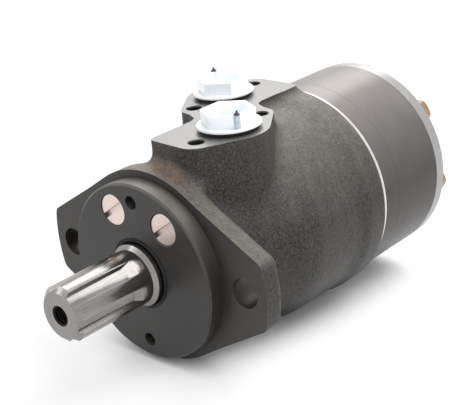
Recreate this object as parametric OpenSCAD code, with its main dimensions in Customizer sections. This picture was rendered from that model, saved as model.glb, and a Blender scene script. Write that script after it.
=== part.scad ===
// Orbital hydraulic motor with an oval flange, a splined shaft and two capped ports.
// The shaft points along -Y, the ports along +Z. The origin is the middle of the
// flange's front face. All lengths are in millimetres.

/* [Mounting flange] */
// Thickness of the flange
flange_t = 10; // [8:0.5:14]
// Radius of the flange around the shaft
flange_mid_r = 44.5; // [43:0.5:48]
// Radius of the arc that ends both ears
flange_end_r = 65; // [63:0.5:70]
// Slope of the flange's straight edges, in degrees
flange_slope = 30; // [26:1:34]
// Distance between the two bolt holes
flange_bolt_pitch = 106.4; // [104:0.2:109]
// Diameter of the bolt holes
flange_bolt_d = 13.5; // [11:0.5:14]
// Radius of the ears' rounded corners
flange_corner_r = 4.5; // [2:0.5:6]

/* [Front cover] */
// Diameter of the pilot that centres the motor
pilot_d = 82.5; // [80:0.5:84]
// Height of the pilot above the flange
pilot_h = 8.3; // [6:0.1:10]
// Width of the pilot's chamfer
pilot_chamfer = 0.9; // [0.4:0.1:1.5]
// Diameter of the opening for the shaft
cover_bore_d = 33.2; // [32:0.2:36]
// Diameter of the centring step behind the cover
cover_step_d = 44; // [43:0.5:46]
// Length of the centring step
cover_step_h = 3; // [2.6:0.1:4]
// Distance of the cover screws from the shaft
cover_screw_r = 33; // [32:0.5:34]
// Head diameter of the cover screws
cover_screw_head_d = 6.2; // [6:0.2:7]
// Thread diameter of the cover screws
cover_screw_d = 4; // [3:0.5:4]
// Length of the cover screws under the head
cover_screw_len = 14; // [10:1:18]

/* [Check valves] */
// Distance of the plugs from the shaft
check_r = 30; // [29.5:0.25:30.5]
// Direction of the right plug, in degrees from the +X side
check_angle_right = 53.5; // [50:0.5:58]
// Direction of the left plug, in degrees from the +X side
check_angle_left = 114.6; // [112:0.2:117]
// Diameter of the plug's head
check_head_d = 14.4; // [13:0.2:14.6]
// Free width around the plug's head
check_head_gap = 0.2; // [0.1:0.05:0.4]
// Depth of the plug's head below the cover's face
check_head_sink = 0.5; // [0.3:0.1:1.6]
// Thread diameter of the plug
check_thread_d = 10; // [8:0.5:10]
// Diameter of the valve ball
check_ball_d = 6; // [5:0.5:6.4]
// Travel of the valve ball
check_travel = 1; // [0.5:0.1:1.5]
// Length of the plug's thread
check_thread_len = 9.4; // [7:0.2:11]
// Diameter of the ball's seat
check_seat_d = 3.8; // [3.2:0.2:4]

/* [Housing body] */
// Distance from the flange's front face to the housing's rear face
housing_len = 107; // [105:0.5:110]
// Diameter of the body
body_d = 100.8; // [100.4:0.2:104]
// Diameter of the neck behind the flange
neck_d = 80; // [76:1:84]
// Distance from the front face to the end of the neck
neck_end = 24; // [22:1:28]
// Distance from the front face to where the body is at full size
shoulder_end = 64; // [60:1:66]
// Extra radius of the thick band near the rear
band_rise = 1.6; // [0.6:0.2:2.4]
// Length of the thick band
band_len = 12; // [8:1:14]
// Length of the turned rim at the rear
rim_len = 1.8; // [1.4:0.2:2.6]

/* [Port block] */
// Height of the port face above the shaft
port_face_z = 54.6; // [53.6:0.2:57]
// Distance from the front face to the middle between the ports
port_mid_y = 56.6; // [56:0.1:57.2]
// Sideways distance of each port from the shaft
port_dx = 18; // [17.5:0.1:18.5]
// Lengthways distance of each port from the middle
port_dy = 18.2; // [17.8:0.1:18.6]
// Diameter of the port threads, as drilled
port_bore_d = 19; // [18.6:0.1:21]
// Depth of the ports
port_depth = 16; // [14:0.5:17]
// Radius of the block around a port
lobe_port_r = 18; // [17:0.5:19]
// Radius of the block around the outer screw hole
lobe_outer_r = 8.6; // [7:0.2:9]
// Radius of the block around the inner screw hole
lobe_inner_r = 6; // [5.6:0.2:7]
// Distance of each lobe's straight inner side from the middle plane
lobe_side_x = 4.9; // [4:0.1:6]
// Radius of the lobe's square corner
lobe_corner_r = 3.2; // [2:0.2:5]
// Length of the slanted web between the lobes
lobe_bridge = 6; // [4:0.5:9]
// Radius of the notches where the lobes meet
lobe_notch_r = 2.5; // [1.5:0.5:3]
// Sideways distance of the port face's screw holes
port_screw_dx = 17.5; // [17:0.1:18]
// Lengthways distance of the outer screw holes from the middle
port_screw_outer_dy = 38.8; // [38.2:0.1:39.4]
// Lengthways spacing of the two screw holes of one lobe
port_screw_pitch = 42; // [41.4:0.1:42.6]
// Diameter of the port face's screw holes
port_screw_d = 6.8; // [6.6:0.1:8]
// Depth of the port face's screw holes
port_screw_depth = 13; // [10:0.5:15]
// Diameter of the passages from the ports to the spool
passage_d = 7; // [6:0.2:7.2]
// Sideways distance of those passages
passage_dx = 12.6; // [12.3:0.1:12.8]

/* [Output shaft] */
// Distance from the flange's front face to the shaft's end
shaft_reach = 54.1; // [50:0.5:60]
// Outer diameter of the splines
spline_d = 25.4; // [25:0.1:26]
// Root diameter of the splines
spline_root_d = 21.5; // [20.5:0.1:22]
// Width of one spline tooth
spline_tooth_w = 6.2; // [5.6:0.1:6.6]
// How far the teeth are turned about the axis at rest, in degrees
spline_turn = 17.5; // [0:0.5:59.5]
// Full length of the splines
spline_len = 32; // [28:0.5:34]
// Radius of the cutter that leaves the spline's run-out
spline_cutter_r = 26; // [22:1:32]
// Length of the chamfer at the shaft's end
shaft_chamfer = 2.3; // [1:0.1:3]
// Diameter of the ground collar under the seals
collar_d = 29; // [28.2:0.2:30]
// Distance from the flange's front face to the collar's front
collar_reach = 13; // [11:0.5:14]
// Diameter of the tapped hole in the shaft's end
end_thread_d = 6.8; // [6.6:0.1:8]
// Depth of that hole
end_thread_depth = 22; // [16:1:24]

/* [Valve spool] */
// Diameter of the spool
spool_d = 40; // [39:0.2:41]
// Radial running clearance of the spool in the housing
spool_gap = 0.05; // [0.03:0.01:0.1]
// Distance from the flange's front face to the spool's front
spool_front = 15; // [14.8:0.1:16]
// Width of the two ring grooves
spool_groove_w = 9; // [7:0.5:10]
// Depth of the ring grooves
spool_groove_depth = 3; // [2.4:0.2:3.4]
// Depth of the distributing slots
spool_slot_depth = 2.2; // [1.4:0.2:2.2]
// Width of the distributing slots
spool_slot_w = 3.2; // [2.4:0.2:3.6]
// Overlap of the slots past the windows' middle
spool_slot_reach = 4; // [3:0.5:5]
// Diameter of the hollow for the cardan shaft
spool_bore_d = 25; // [24.6:0.2:26]

/* [Seals and thrust bearing] */
// Outer diameter of the shaft seal
seal_d = 39; // [38:0.2:40]
// Width of the shaft seal
seal_w = 4.4; // [4:0.1:4.6]
// Outer diameter of the thrust bearing
thrust_d = 38.6; // [37:0.2:39]
// Thickness of a bearing race
thrust_race_t = 1; // [0.8:0.1:1.1]
// Diameter of the bearing's needles
thrust_needle_d = 2.5; // [2:0.1:2.6]
// Number of needles
thrust_needles_n = 20; // [12:2:24]

/* [Gerotor] */
// Number of rollers
roller_n = 7; // [5, 7, 9]
// Distance of the rollers from the shaft's axis
roller_circle_r = 27.6; // [27:0.1:28]
// Diameter of a roller
roller_d = 12.8; // [12.4:0.1:13]
// Offset of the star from the shaft's axis
orbit_offset = 2.65; // [2.2:0.05:2.7]
// Clearance between rollers and star, and rollers and ring
roller_gap = 0.05; // [0.04:0.01:0.1]
// Inner diameter of the ring between the rollers
ring_bore_d = 53.3; // [53:0.1:54]
// Width of the gerotor ring
ring_w = 33.8; // [26:0.2:44]
// Thickness of the distributor plate
plate_t = 11.2; // [9:0.2:14]
// Thickness of the end cover
end_cover_t = 6.8; // [6:0.2:10]
// Diameter of the plate, the ring and the end cover
stack_d = 100; // [98:0.5:104]
// Free length at the ends of the rollers, the star and the spool
face_gap = 0.1; // [0.05:0.05:0.2]

/* [Channels] */
// Distance of the channels from the shaft's axis
channel_r = 25; // [24.6:0.1:25.4]
// Diameter of the channels
channel_d = 5.4; // [4.4:0.2:5.6]
// Width of the windows from the bore into the channels
window_w = 4; // [3:0.5:4.5]
// Length of the windows
window_len = 6; // [4:0.5:8]

/* [Cardan shaft] */
// Distance from the flange's front face to the front joint
cardan_front_y = 36; // [34:0.5:38]
// Distance from the distributor plate to the rear joint
cardan_rear_in = 17; // [12:0.5:18]
// Outer diameter of the cardan's teeth
cardan_tooth_d = 22.4; // [22:0.2:23]
// Root diameter of the cardan's teeth
cardan_root_d = 18.4; // [17.6:0.2:19]
// Length of the toothed ends
cardan_tooth_len = 14; // [10:0.5:15]
// Number of the cardan's teeth
cardan_teeth = 12; // [8:1:14]
// Free space around the cardan's teeth
cardan_gap = 0.55; // [0.45:0.05:0.7]
// Diameter of the cardan's shank
cardan_shank_d = 15; // [13:0.5:16]
// Thickness of the cardan spacer
spacer_t = 3.2; // [2:0.2:4]

/* [End bolts] */
// Distance of the end bolts from the shaft's axis
end_bolt_r = 41; // [40.6:0.1:41.6]
// Thread diameter of the end bolts
end_bolt_d = 8; // [7:0.5:8]
// Clearance hole of the end bolts
end_bolt_hole_d = 8.6; // [8.4:0.1:9]
// Width across flats of the hexagon heads
end_bolt_af = 13; // [12:0.5:13.5]
// Height of the hexagon heads
end_bolt_head_h = 5.3; // [4.5:0.1:6]
// Length of thread in the housing
end_bolt_grip = 20; // [14:1:21]
// Outer diameter of the washers
washer_d = 14.6; // [13.6:0.2:15.6]
// Thickness of the washers
washer_t = 1.5; // [1:0.1:2]
// Distance of the face O-rings from the shaft's axis
o_ring_r = 35.2; // [35:0.1:35.4]
// Thickness of the face O-rings
o_ring_t = 1.9; // [1.5:0.1:2.1]

/* [Port caps] */
// Diameter of a cap's flange
cap_flange_d = 29; // [27:0.2:31]
// Thickness of a cap's flange
cap_flange_t = 1.3; // [1:0.1:3]
// Gap under a cap's flange
cap_lift = 1.9; // [1:0.1:2.4]
// Width across flats of a cap's head
cap_af = 21.5; // [20:0.5:22.5]
// Height of a cap's head
cap_head_h = 5.8; // [5:0.1:9]
// Wall of a cap's hollow head
cap_wall = 1.7; // [1.4:0.1:2.4]
// Length of a cap's plug in the port
cap_plug_len = 11; // [8:0.5:13]
// Free space around a cap's plug
cap_gap = 0.25; // [0.15:0.05:0.4]
// Direction of a cap's pin and of the corner that it stands at, in degrees
cap_pin_angle = -29; // [-40:1:-20]
// Diameter of a cap's pin
cap_pin_d = 2.8; // [2:0.1:3]
// Height of the pin above the cap's head
cap_pin_rise = 2.2; // [1.8:0.1:3]
// Outer diameter of the seal ring under a cap
cap_ring_d = 26.6; // [24:0.2:28]

/* [Drain port] */
// Distance from the flange's front face to the drain port
drain_y = 27; // [26:0.5:29]
// Direction of the drain port, in degrees from the +X side
drain_angle = 225; // [215:1:235]
// Diameter of the drain port's thread, as drilled
drain_d = 11.8; // [11.4:0.1:13]
// Distance of the drain port's face from the shaft's axis
drain_reach = 46; // [45:0.5:50]
// Diameter of the boss around the drain port
drain_boss_d = 22; // [21:0.5:24]
// Width across flats of the drain plug
drain_af = 17; // [14:0.5:19]
// Height of the drain plug's head
drain_head_h = 6; // [4:0.5:8]
// Length of the drain plug's thread
drain_plug_len = 10; // [7:0.5:12]
// Thickness of the drain plug's washer
drain_washer_t = 1.5; // [1:0.1:2]

/* [Hidden] */
$fn = 64;
slip = 0.1;                  // free width where pieces of one body stand side by side
key_slot_w = 2.4;            // width of the slots in the check plugs
key_slot_depth = 1.6;
key_slot_turn = 34;          // direction of the slots
check_head_edge = 0.2;       // broken edge of the plugs' heads
block_foot_z = 8;            // where the port block starts inside the body
band_ramp = 9;               // length over which the thick band rises
socket_cone_r = 4;           // small radius of the cone at the bottom of the shaft's socket
socket_cone_h = 3;
drain_channel_d = 5.9;

plate_y = housing_len;
ring_y = plate_y + plate_t;
cover_y = ring_y + ring_w;
rear_y = cover_y + end_cover_t;

pilot_r = pilot_d / 2;
spool_r = spool_d / 2;
bore_r = spool_r + spool_gap;
collar_r = collar_d / 2;
roller_r = roller_d / 2;
star_n = roller_n - 1;
roller_step = 360 / roller_n;
// One end bolt stands straight above the shaft, and the rollers lie between the bolts.
bolt_turn = 90;
set_turn = bolt_turn + 180;
o_groove_w = o_ring_t + 0.5;
thread_y0 = housing_len - end_bolt_grip;

cardan_rear_y = plate_y + plate_t + cardan_rear_in;
cardan_span = cardan_rear_y - cardan_front_y;
cardan_tilt = atan(orbit_offset / cardan_span);
spline_out_d = cardan_tooth_d + 2 * cardan_gap;
spline_in_d = cardan_root_d + 2 * cardan_gap;

seal_y0 = 0.4;
seal_pocket = seal_y0 + cover_step_h + seal_w + 0.2;
thrust_y0 = spool_front - 2 * thrust_race_t - thrust_needle_d;
web_y1 = thrust_y0;
shaft_hole_r = collar_r + 0.6;

// Turns a shape built along +Z so that it runs along +Y from y0.
module along_y(y0) {
    translate([0, y0, 0]) rotate([-90, 0, 0]) children();
}

// A round disc or bar along Y.
module bar_y(r, y0, y1) {
    along_y(y0) cylinder(r = r, h = y1 - y0);
}

// A flat outline, drawn as seen from the front, made solid from y0 to y1.
module slab_y(y0, y1) {
    translate([0, y1, 0]) rotate([90, 0, 0]) linear_extrude(y1 - y0) children();
}

// Copies a shape to a place seen from the front, at radius r and angle a.
module at_polar(r, a) {
    translate([r * cos(a), 0, r * sin(a)]) children();
}

// The places of the end bolts, the channels and the chambers behind them.
module each_bolt(r) {
    for (k = [0 : roller_n - 1]) at_polar(r, bolt_turn + k * roller_step) children();
}

// A hexagonal bar along Y.
module hex_y(af, y0, y1) {
    along_y(y0) cylinder(d = af / cos(30), h = y1 - y0, $fn = 6);
}

// A ring with two flat sides, as an O-ring looks when it is clamped in its groove.
module clamped_ring(r, t, y0) {
    along_y(y0) rotate_extrude($fn = 96) translate([r, t / 2])
        intersection() {
            circle(d = t + 0.3, $fn = 24);
            square([t + 1, t], center = true);
        }
}

// The groove that holds such a ring, open towards -Y from y1.
module ring_groove(r, w, y0, y1) {
    difference() {
        bar_y(r + w / 2, y0, y1);
        bar_y(r - w / 2, y0 - 1, y1 + 1);
    }
}

/* Housing */

// Where the flange's straight edge meets the arc that ends the ear.
ear_half = asin(flange_mid_r / flange_end_r);
ear_angle = ear_half - flange_slope;

module flange_outline() {
    ear_x = flange_end_r * cos(ear_angle);
    tangent = 90 - flange_slope;
    offset(r = flange_corner_r, $fn = 48) offset(delta = -flange_corner_r)
        union() {
            circle(r = flange_mid_r, $fn = 160);
            intersection() {
                circle(r = flange_end_r, $fn = 200);
                polygon([for (side = [1, -1]) for (p = [
                    [flange_mid_r * cos(tangent), -flange_mid_r * sin(tangent)],
                    [flange_mid_r * cos(tangent) + 90 * cos(flange_slope),
                     -flange_mid_r * sin(tangent) + 90 * sin(flange_slope)],
                    [flange_mid_r * cos(tangent) + 90 * cos(flange_slope),
                     flange_mid_r * sin(tangent) - 90 * sin(flange_slope)],
                    [flange_mid_r * cos(tangent), flange_mid_r * sin(tangent)]])
                    side * p]);
            }
        }
}

// The body's outer line: a neck, a swelling shoulder, the body and the thick band.
function shoulder_r(t) = neck_d / 2 + (body_d - neck_d) / 2 * (1 - cos(180 * t)) / 2;
band_y1 = housing_len - rim_len - 1;
band_y0 = band_y1 - band_len;

module body_solid() {
    along_y(0) rotate_extrude($fn = 120) polygon(concat(
        [[0, 1], [neck_d / 2 + 3, 1], [neck_d / 2 + 3, flange_t], [neck_d / 2 + 0.9, flange_t + 1.2],
         [neck_d / 2, flange_t + 4]],
        [for (i = [0 : 10]) [shoulder_r(i / 10), neck_end + (shoulder_end - neck_end) * i / 10]],
        [[body_d / 2, band_y0 - band_ramp],
         [body_d / 2 + band_rise * 0.3, band_y0 - band_ramp * 5 / 9],
         [body_d / 2 + band_rise, band_y0],
         [body_d / 2 + band_rise, band_y1 - 1.5],
         [body_d / 2 + band_rise * 0.6, band_y1],
         [body_d / 2 - 0.3, band_y1 + 0.4],
         [body_d / 2 - 0.3, housing_len - rim_len],
         [body_d / 2, housing_len - rim_len],
         [body_d / 2, housing_len],
         [0, housing_len]]));
}

// One half of the port block, seen from above; the other is the same, turned half round.
module lobe_outline() {
    outer = [port_screw_dx, -port_screw_outer_dy];
    inner = [port_screw_dx, -port_screw_outer_dy + port_screw_pitch];
    front = -port_screw_outer_dy - lobe_outer_r + lobe_corner_r;
    hull() {
        translate([port_dx, -port_dy]) circle(r = lobe_port_r, $fn = 72);
        translate(outer) circle(r = lobe_outer_r, $fn = 48);
        translate(inner) circle(r = lobe_inner_r, $fn = 36);
        translate([-lobe_side_x + lobe_corner_r, front + 1.6]) circle(r = lobe_corner_r, $fn = 32);
        translate([-lobe_side_x + 4, -port_dy]) circle(r = 4, $fn = 32);
    }
}

// The web that joins the lobes, from the end of one to the straight side of the other.
module bridge_outline() {
    end_y = -port_screw_outer_dy + port_screw_pitch + lobe_inner_r;
    polygon([for (side = [1, -1]) for (p = [
        [port_screw_dx, end_y - lobe_inner_r], [port_screw_dx, end_y],
        [lobe_side_x, end_y + lobe_bridge], [0, end_y + lobe_bridge]]) side * p]);
}

// The block ends where the casting's two machined end faces cut it off.
module port_block() {
    translate([0, port_mid_y, block_foot_z]) linear_extrude(port_face_z - block_foot_z)
        intersection() {
            offset(r = -lobe_notch_r, $fn = 32) offset(delta = lobe_notch_r) {
                for (turn = [0, 180]) rotate(turn) lobe_outline();
                bridge_outline();
            }
            translate([-stack_d, -port_mid_y]) square([2 * stack_d, housing_len]);
        }
}

// Everything that is cut out of the casting from the port face.
module port_cuts() {
    for (side = [1, -1]) {
        translate([side * port_dx, port_mid_y - side * port_dy, port_face_z - port_depth])
            cylinder(d = port_bore_d, h = port_depth + 1);
        translate([side * port_dx, port_mid_y - side * port_dy, port_face_z - 1.2])
            cylinder(d1 = port_bore_d, d2 = port_bore_d + 2.4, h = 1.2);
        translate([side * passage_dx, port_mid_y - side * port_dy, bore_r * 0.72])
            cylinder(d = passage_d, h = port_face_z - port_depth + 1 - bore_r * 0.72);
        for (dy = [port_screw_outer_dy, port_screw_outer_dy - port_screw_pitch])
            translate([side * port_screw_dx, port_mid_y - side * dy, port_face_z - port_screw_depth])
                cylinder(d = port_screw_d, h = port_screw_depth + 1);
    }
}

// The check valve's stepped hole, from the flange's face back to its port.
module check_hole(angle, back_y) {
    at_polar(check_r, angle) {
        bar_y(check_thread_d / 2 + slip / 2, -1, check_thread_len + 0.2);
        bar_y(check_ball_d / 2 + 0.2, -1, check_seat_y);
        bar_y(check_seat_d / 2, 0, back_y);
    }
}
// The ball sits on the edge of its seat and stops against the plug at the other end.
check_ball_in = sqrt(pow(check_ball_d / 2, 2) - pow(check_seat_d / 2, 2));
check_ball_y = check_thread_len + 0.1 + check_travel + check_ball_d / 2;
check_riser_y = port_mid_y - port_dy - 4;
check_seat_y = check_ball_y + check_ball_in + 0.05;

// Stands a shape on the drain port's axis, at the given distance from the shaft.
module at_drain(reach) {
    translate([0, drain_y, 0]) rotate([0, 90 - drain_angle, 0]) translate([0, 0, reach]) children();
}

module housing() {
    color([0.27, 0.27, 0.25]) difference() {
        union() {
            slab_y(0, flange_t) flange_outline();
            body_solid();
            port_block();
            at_drain(0) cylinder(d = drain_boss_d, h = drain_reach);
        }
        bar_y(bore_r, thrust_y0, housing_len + 1);
        bar_y(shaft_hole_r, 0, thrust_y0 + 1);
        bar_y(seal_d / 2 + slip / 2, -1, seal_pocket);
        bar_y(cover_step_d / 2 + slip / 2, -1, cover_step_h + 0.2);
        for (side = [1, -1]) translate([side * flange_bolt_pitch / 2, 0, 0])
            bar_y(flange_bolt_d / 2, -1, flange_t + 1);
        for (a = [90, 270]) at_polar(cover_screw_r, a)
            bar_y(cover_screw_d / 2 + slip / 2, -1, cover_screw_len - cover_screw_seat + 2);
        check_hole(check_angle_right, check_riser_y + check_seat_d / 2);
        translate([check_r * cos(check_angle_right), check_riser_y, check_r * sin(check_angle_right)])
            cylinder(d = check_seat_d, h = port_face_z - port_depth + 1 - check_r * sin(check_angle_right));
        check_hole(check_angle_left, port_mid_y + port_dy - 2);
        port_cuts();
        each_bolt(end_bolt_r) bar_y(end_bolt_d / 2 + slip / 2, thread_y0 - 2, housing_len + 1);
        each_bolt(channel_r) bar_y(channel_d / 2, port_mid_y - window_len / 2, housing_len + 1);
        for (k = [0 : roller_n - 1]) rotate([0, -bolt_turn - k * roller_step, 0])
            translate([bore_r - 1, port_mid_y - window_len / 2, -window_w / 2])
                cube([channel_r - bore_r + 1, window_len, window_w]);
        ring_groove(o_ring_r, o_groove_w, housing_len - o_ring_t, housing_len + 1);
        at_drain(drain_reach - drain_plug_len - 2) cylinder(d = drain_d, h = drain_plug_len + 3);
        at_drain(0) cylinder(d = drain_channel_d, h = drain_reach);
    }
}

/* Front cover and what it holds */

cover_screw_seat = 2;        // material left under the heads of the cover screws
dust_depth = 4;

module front_cover() {
    color([0.17, 0.17, 0.18]) difference() {
        union() {
            along_y(-pilot_h) cylinder(r1 = pilot_r - pilot_chamfer, r2 = pilot_r, h = pilot_chamfer);
            bar_y(pilot_r, -pilot_h + pilot_chamfer, 0);
            bar_y(cover_step_d / 2, 0, cover_step_h);
        }
        bar_y(cover_bore_d / 2, -pilot_h - 1, -pilot_h + dust_depth + slip);
        bar_y(shaft_hole_r, -pilot_h - 1, cover_step_h + 1);
        for (a = [90, 270]) at_polar(cover_screw_r, a) {
            bar_y(cover_screw_head_d / 2 + 0.15, -pilot_h - 1, -cover_screw_seat);
            bar_y(cover_screw_d / 2 + 0.2, -pilot_h - 1, 1);
        }
        for (a = [check_angle_right, check_angle_left]) at_polar(check_r, a)
            bar_y(check_head_d / 2 + check_head_gap, -pilot_h - 1, 1);
        ring_groove(cover_ring_r, cover_ring_t + 0.4, -cover_ring_t, 1);
    }
}

cover_ring_t = 1.4;
cover_ring_r = check_r + check_head_d / 2 + check_head_gap + cover_ring_t / 2 + 0.4;

module cover_o_ring() {
    color([0.08, 0.08, 0.08]) clamped_ring(cover_ring_r, cover_ring_t, -cover_ring_t);
}

module dust_seal() {
    color([0.06, 0.06, 0.06]) along_y(-pilot_h) rotate_extrude($fn = 96) polygon([
        [collar_r + 0.08, 0.2], [collar_r + 0.5, -0.5], [collar_r + 1, 0.4], [cover_bore_d / 2, 0.4],
        [cover_bore_d / 2, dust_depth], [collar_r + 0.9, dust_depth], [collar_r + 0.9, 2],
        [collar_r + 0.08, 1]]);
}

module shaft_seal() {
    y0 = seal_y0 + cover_step_h;
    color([0.10, 0.07, 0.05]) along_y(y0) rotate_extrude($fn = 96) polygon([
        [collar_r + 0.08, 1.8], [collar_r + 1.4, 0], [seal_d / 2, 0], [seal_d / 2, seal_w],
        [collar_r + 3, seal_w], [collar_r + 3, 2.2], [collar_r + 1.2, 3.2], [collar_r + 0.08, 2.4]]);
}

module cover_screws() {
    head_h = cover_screw_d * 0.7;
    color([0.12, 0.12, 0.13]) for (a = [90, 270]) at_polar(cover_screw_r, a) difference() {
        union() {
            bar_y(cover_screw_head_d / 2, -cover_screw_seat - head_h, -cover_screw_seat);
            bar_y(cover_screw_d / 2, -cover_screw_seat, cover_screw_len - cover_screw_seat);
        }
        hex_y(3, -cover_screw_seat - head_h - 1, -cover_screw_seat - head_h + 1.6);
    }
}

module check_plugs() {
    head_y = -pilot_h + check_head_sink;
    color([0.78, 0.72, 0.68]) for (a = [check_angle_right, check_angle_left])
        at_polar(check_r, a) difference() {
            union() {
                along_y(head_y) cylinder(d1 = check_head_d - 2 * check_head_edge, d2 = check_head_d,
                    h = check_head_edge);
                bar_y(check_head_d / 2, head_y + check_head_edge, 0);
                bar_y(check_thread_d / 2, 0, check_thread_len);
            }
            rotate([0, -key_slot_turn, 0]) translate([-check_head_d, head_y - 1, -key_slot_w / 2])
                cube([2 * check_head_d, key_slot_depth + 1, key_slot_w]);
        }
}

module check_ball(angle) {
    color([0.75, 0.75, 0.77]) at_polar(check_r, angle) translate([0, check_ball_y, 0])
        sphere(d = check_ball_d, $fn = 48);
}

/* Thrust bearing */

module thrust_race(y0) {
    color([0.7, 0.7, 0.72]) difference() {
        bar_y(thrust_d / 2, y0, y0 + thrust_race_t);
        bar_y(collar_r + 0.3, y0 - 1, y0 + thrust_race_t + 1);
    }
}

needle_mid_r = (thrust_d / 2 + collar_r) / 2;
needle_len = thrust_d / 2 - collar_r - 1.6;
needle_y = thrust_y0 + thrust_race_t + thrust_needle_d / 2;

module needle_shape(extra) {
    for (k = [0 : thrust_needles_n - 1]) rotate([0, -k * 360 / thrust_needles_n, 0])
        translate([needle_mid_r - needle_len / 2 - extra, needle_y, 0]) rotate([0, 90, 0])
            cylinder(d = thrust_needle_d - 0.06 + 2 * extra, h = needle_len + 2 * extra, $fn = 24);
}

module thrust_cage() {
    color([0.62, 0.5, 0.28]) difference() {
        bar_y(thrust_d / 2 - 0.1, needle_y - thrust_needle_d * 0.3, needle_y + thrust_needle_d * 0.3);
        bar_y(collar_r + 0.2, needle_y - 5, needle_y + 5);
        needle_shape(0.08);
    }
}

module thrust_needles() {
    color([0.8, 0.8, 0.82]) needle_shape(0);
}

/* Output shaft */

// The outline of one spline gap: straight tooth flanks on both sides of a round floor.
module spline_gap_outline() {
    root_r = spline_root_d / 2;
    side = spline_tooth_w / 2;
    inner_a = 30 - asin(side / root_r);
    outer_r = spline_d / 2 + 2;
    outer_a = 30 - asin(side / outer_r);
    polygon(concat(
        [for (i = [-4 : 4]) root_r * [cos(inner_a * i / 4), sin(inner_a * i / 4)]],
        [outer_r * [cos(outer_a), sin(outer_a)], outer_r * [cos(outer_a), -sin(outer_a)]]));
}

// The gaps end in the curve that a round cutter leaves.
module spline_gaps() {
    sink = 1;
    run_back = sqrt(2 * spline_cutter_r * sink);
    y0 = -shaft_reach;
    y1 = y0 + spline_len;
    for (k = [0 : 5]) rotate([0, -60 * k - 30 - spline_turn, 0]) intersection() {
        slab_y(y0 - 1, y1 + 12) spline_gap_outline();
        union() {
            translate([0, y0 - 2, -10]) cube([20, y1 - run_back - y0 + 2, 20]);
            translate([spline_root_d / 2 - sink + spline_cutter_r, y1 - run_back, -10])
                cylinder(r = spline_cutter_r, h = 20, $fn = 96);
        }
    }
}

// The hollow toothed socket in the shaft and in the star; children are its solid core.
module inner_teeth_cut(y0, y1) {
    bar_y(spline_in_d / 2, y0, y1);
    for (k = [0 : cardan_teeth - 1]) rotate([0, -k * 360 / cardan_teeth, 0])
        slab_y(y0, y1) polygon(tooth_outline(spline_in_d / 2 - 1, spline_out_d / 2, cardan_gap));
}

// A tooth with slanted flanks; extra widens it on both sides.
function tooth_outline(r0, r1, extra) =
    let (w0 = 1.55 + extra, w1 = 1.0 + extra)
    [[r0, -w0], [r1, -w1], [r1, w1], [r0, w0]];

module spool_cuts() {
    for (side = [1, -1]) {
        groove_y = port_mid_y - side * port_dy;
        difference() {
            bar_y(spool_r + 1, groove_y - spool_groove_w / 2, groove_y + spool_groove_w / 2);
            bar_y(spool_r - spool_groove_depth, groove_y - 20, groove_y + 20);
        }
        slot_y0 = min(groove_y, port_mid_y + side * spool_slot_reach);
        slot_y1 = max(groove_y, port_mid_y + side * spool_slot_reach);
        for (k = [0 : star_n - 1])
            rotate([0, -(k + (side + 1) / 4) * 360 / star_n, 0])
                translate([spool_r - spool_slot_depth, slot_y0, -spool_slot_w / 2])
                    cube([spool_slot_depth + 1, slot_y1 - slot_y0, spool_slot_w]);
    }
}

module output_shaft() {
    spool_rear = housing_len - face_gap;
    joint_y0 = cardan_front_y - cardan_tooth_len / 2 - 1.5;
    joint_y1 = cardan_front_y + cardan_tooth_len / 2 + 1.5;
    neck_y = -collar_reach;
    color([0.74, 0.74, 0.76]) difference() {
        union() {
            along_y(-shaft_reach) cylinder(r1 = spline_d / 2 - shaft_chamfer, r2 = spline_d / 2,
                h = shaft_chamfer);
            bar_y(spline_d / 2, -shaft_reach + shaft_chamfer, neck_y);
            along_y(neck_y) cylinder(r1 = spline_d / 2, r2 = collar_r, h = 1.6);
            bar_y(collar_r, neck_y + 1.6, spool_front);
            bar_y(spool_r, spool_front, spool_rear);
        }
        spline_gaps();
        bar_y(end_thread_d / 2, -shaft_reach - 1, -shaft_reach + end_thread_depth);
        along_y(-shaft_reach - 0.01) cylinder(r1 = end_thread_d / 2 + 1.2, r2 = end_thread_d / 2, h = 1.2);
        spool_cuts();
        inner_teeth_cut(joint_y0, joint_y1);
        bar_y(spool_bore_d / 2, joint_y1, housing_len + 1);
        along_y(joint_y0 + 0.5 - socket_cone_h)
            cylinder(r1 = socket_cone_r, r2 = spline_in_d / 2 - 2, h = socket_cone_h);
    }
}

/* Cardan shaft */

// One toothed end, a crowned barrel about its own joint centre.
module cardan_end(y_mid) {
    half = cardan_tooth_len / 2;
    crown = 0.35;
    intersection() {
        union() {
            bar_y(cardan_root_d / 2, y_mid - half, y_mid + half);
            for (k = [0 : cardan_teeth - 1]) rotate([0, -k * 360 / cardan_teeth, 0])
                slab_y(y_mid - half, y_mid + half)
                    polygon(tooth_outline(cardan_root_d / 2 - 1, cardan_tooth_d / 2 + 0.5, 0));
        }
        along_y(y_mid - half) rotate_extrude($fn = 72) polygon([[0, 0],
            [cardan_tooth_d / 2 - crown - 0.8, 0], [cardan_tooth_d / 2 - crown, 1.2],
            [cardan_tooth_d / 2, half - 2], [cardan_tooth_d / 2, half + 2],
            [cardan_tooth_d / 2 - crown, 2 * half - 1.2],
            [cardan_tooth_d / 2 - crown - 0.8, 2 * half], [0, 2 * half]]);
    }
}

module cardan_shaft() {
    half = cardan_tooth_len / 2;
    // The shaft is built straight and then leans about its front joint towards the star.
    color([0.55, 0.55, 0.57]) translate([0, cardan_front_y, 0])
        rotate([0, -set_turn, 0]) rotate([0, 0, -cardan_tilt]) rotate([0, set_turn, 0])
            translate([0, -cardan_front_y, 0]) union() {
                cardan_end(cardan_front_y);
                bar_y(cardan_shank_d / 2, cardan_front_y, cardan_rear_y);
                cardan_end(cardan_rear_y);
                bar_y(cardan_root_d / 2 - 3, cardan_front_y - half - 1.5, cardan_front_y);
                bar_y(cardan_root_d / 2 - 3, cardan_rear_y, cover_y - face_gap - spacer_t - 0.5);
            }
}

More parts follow.
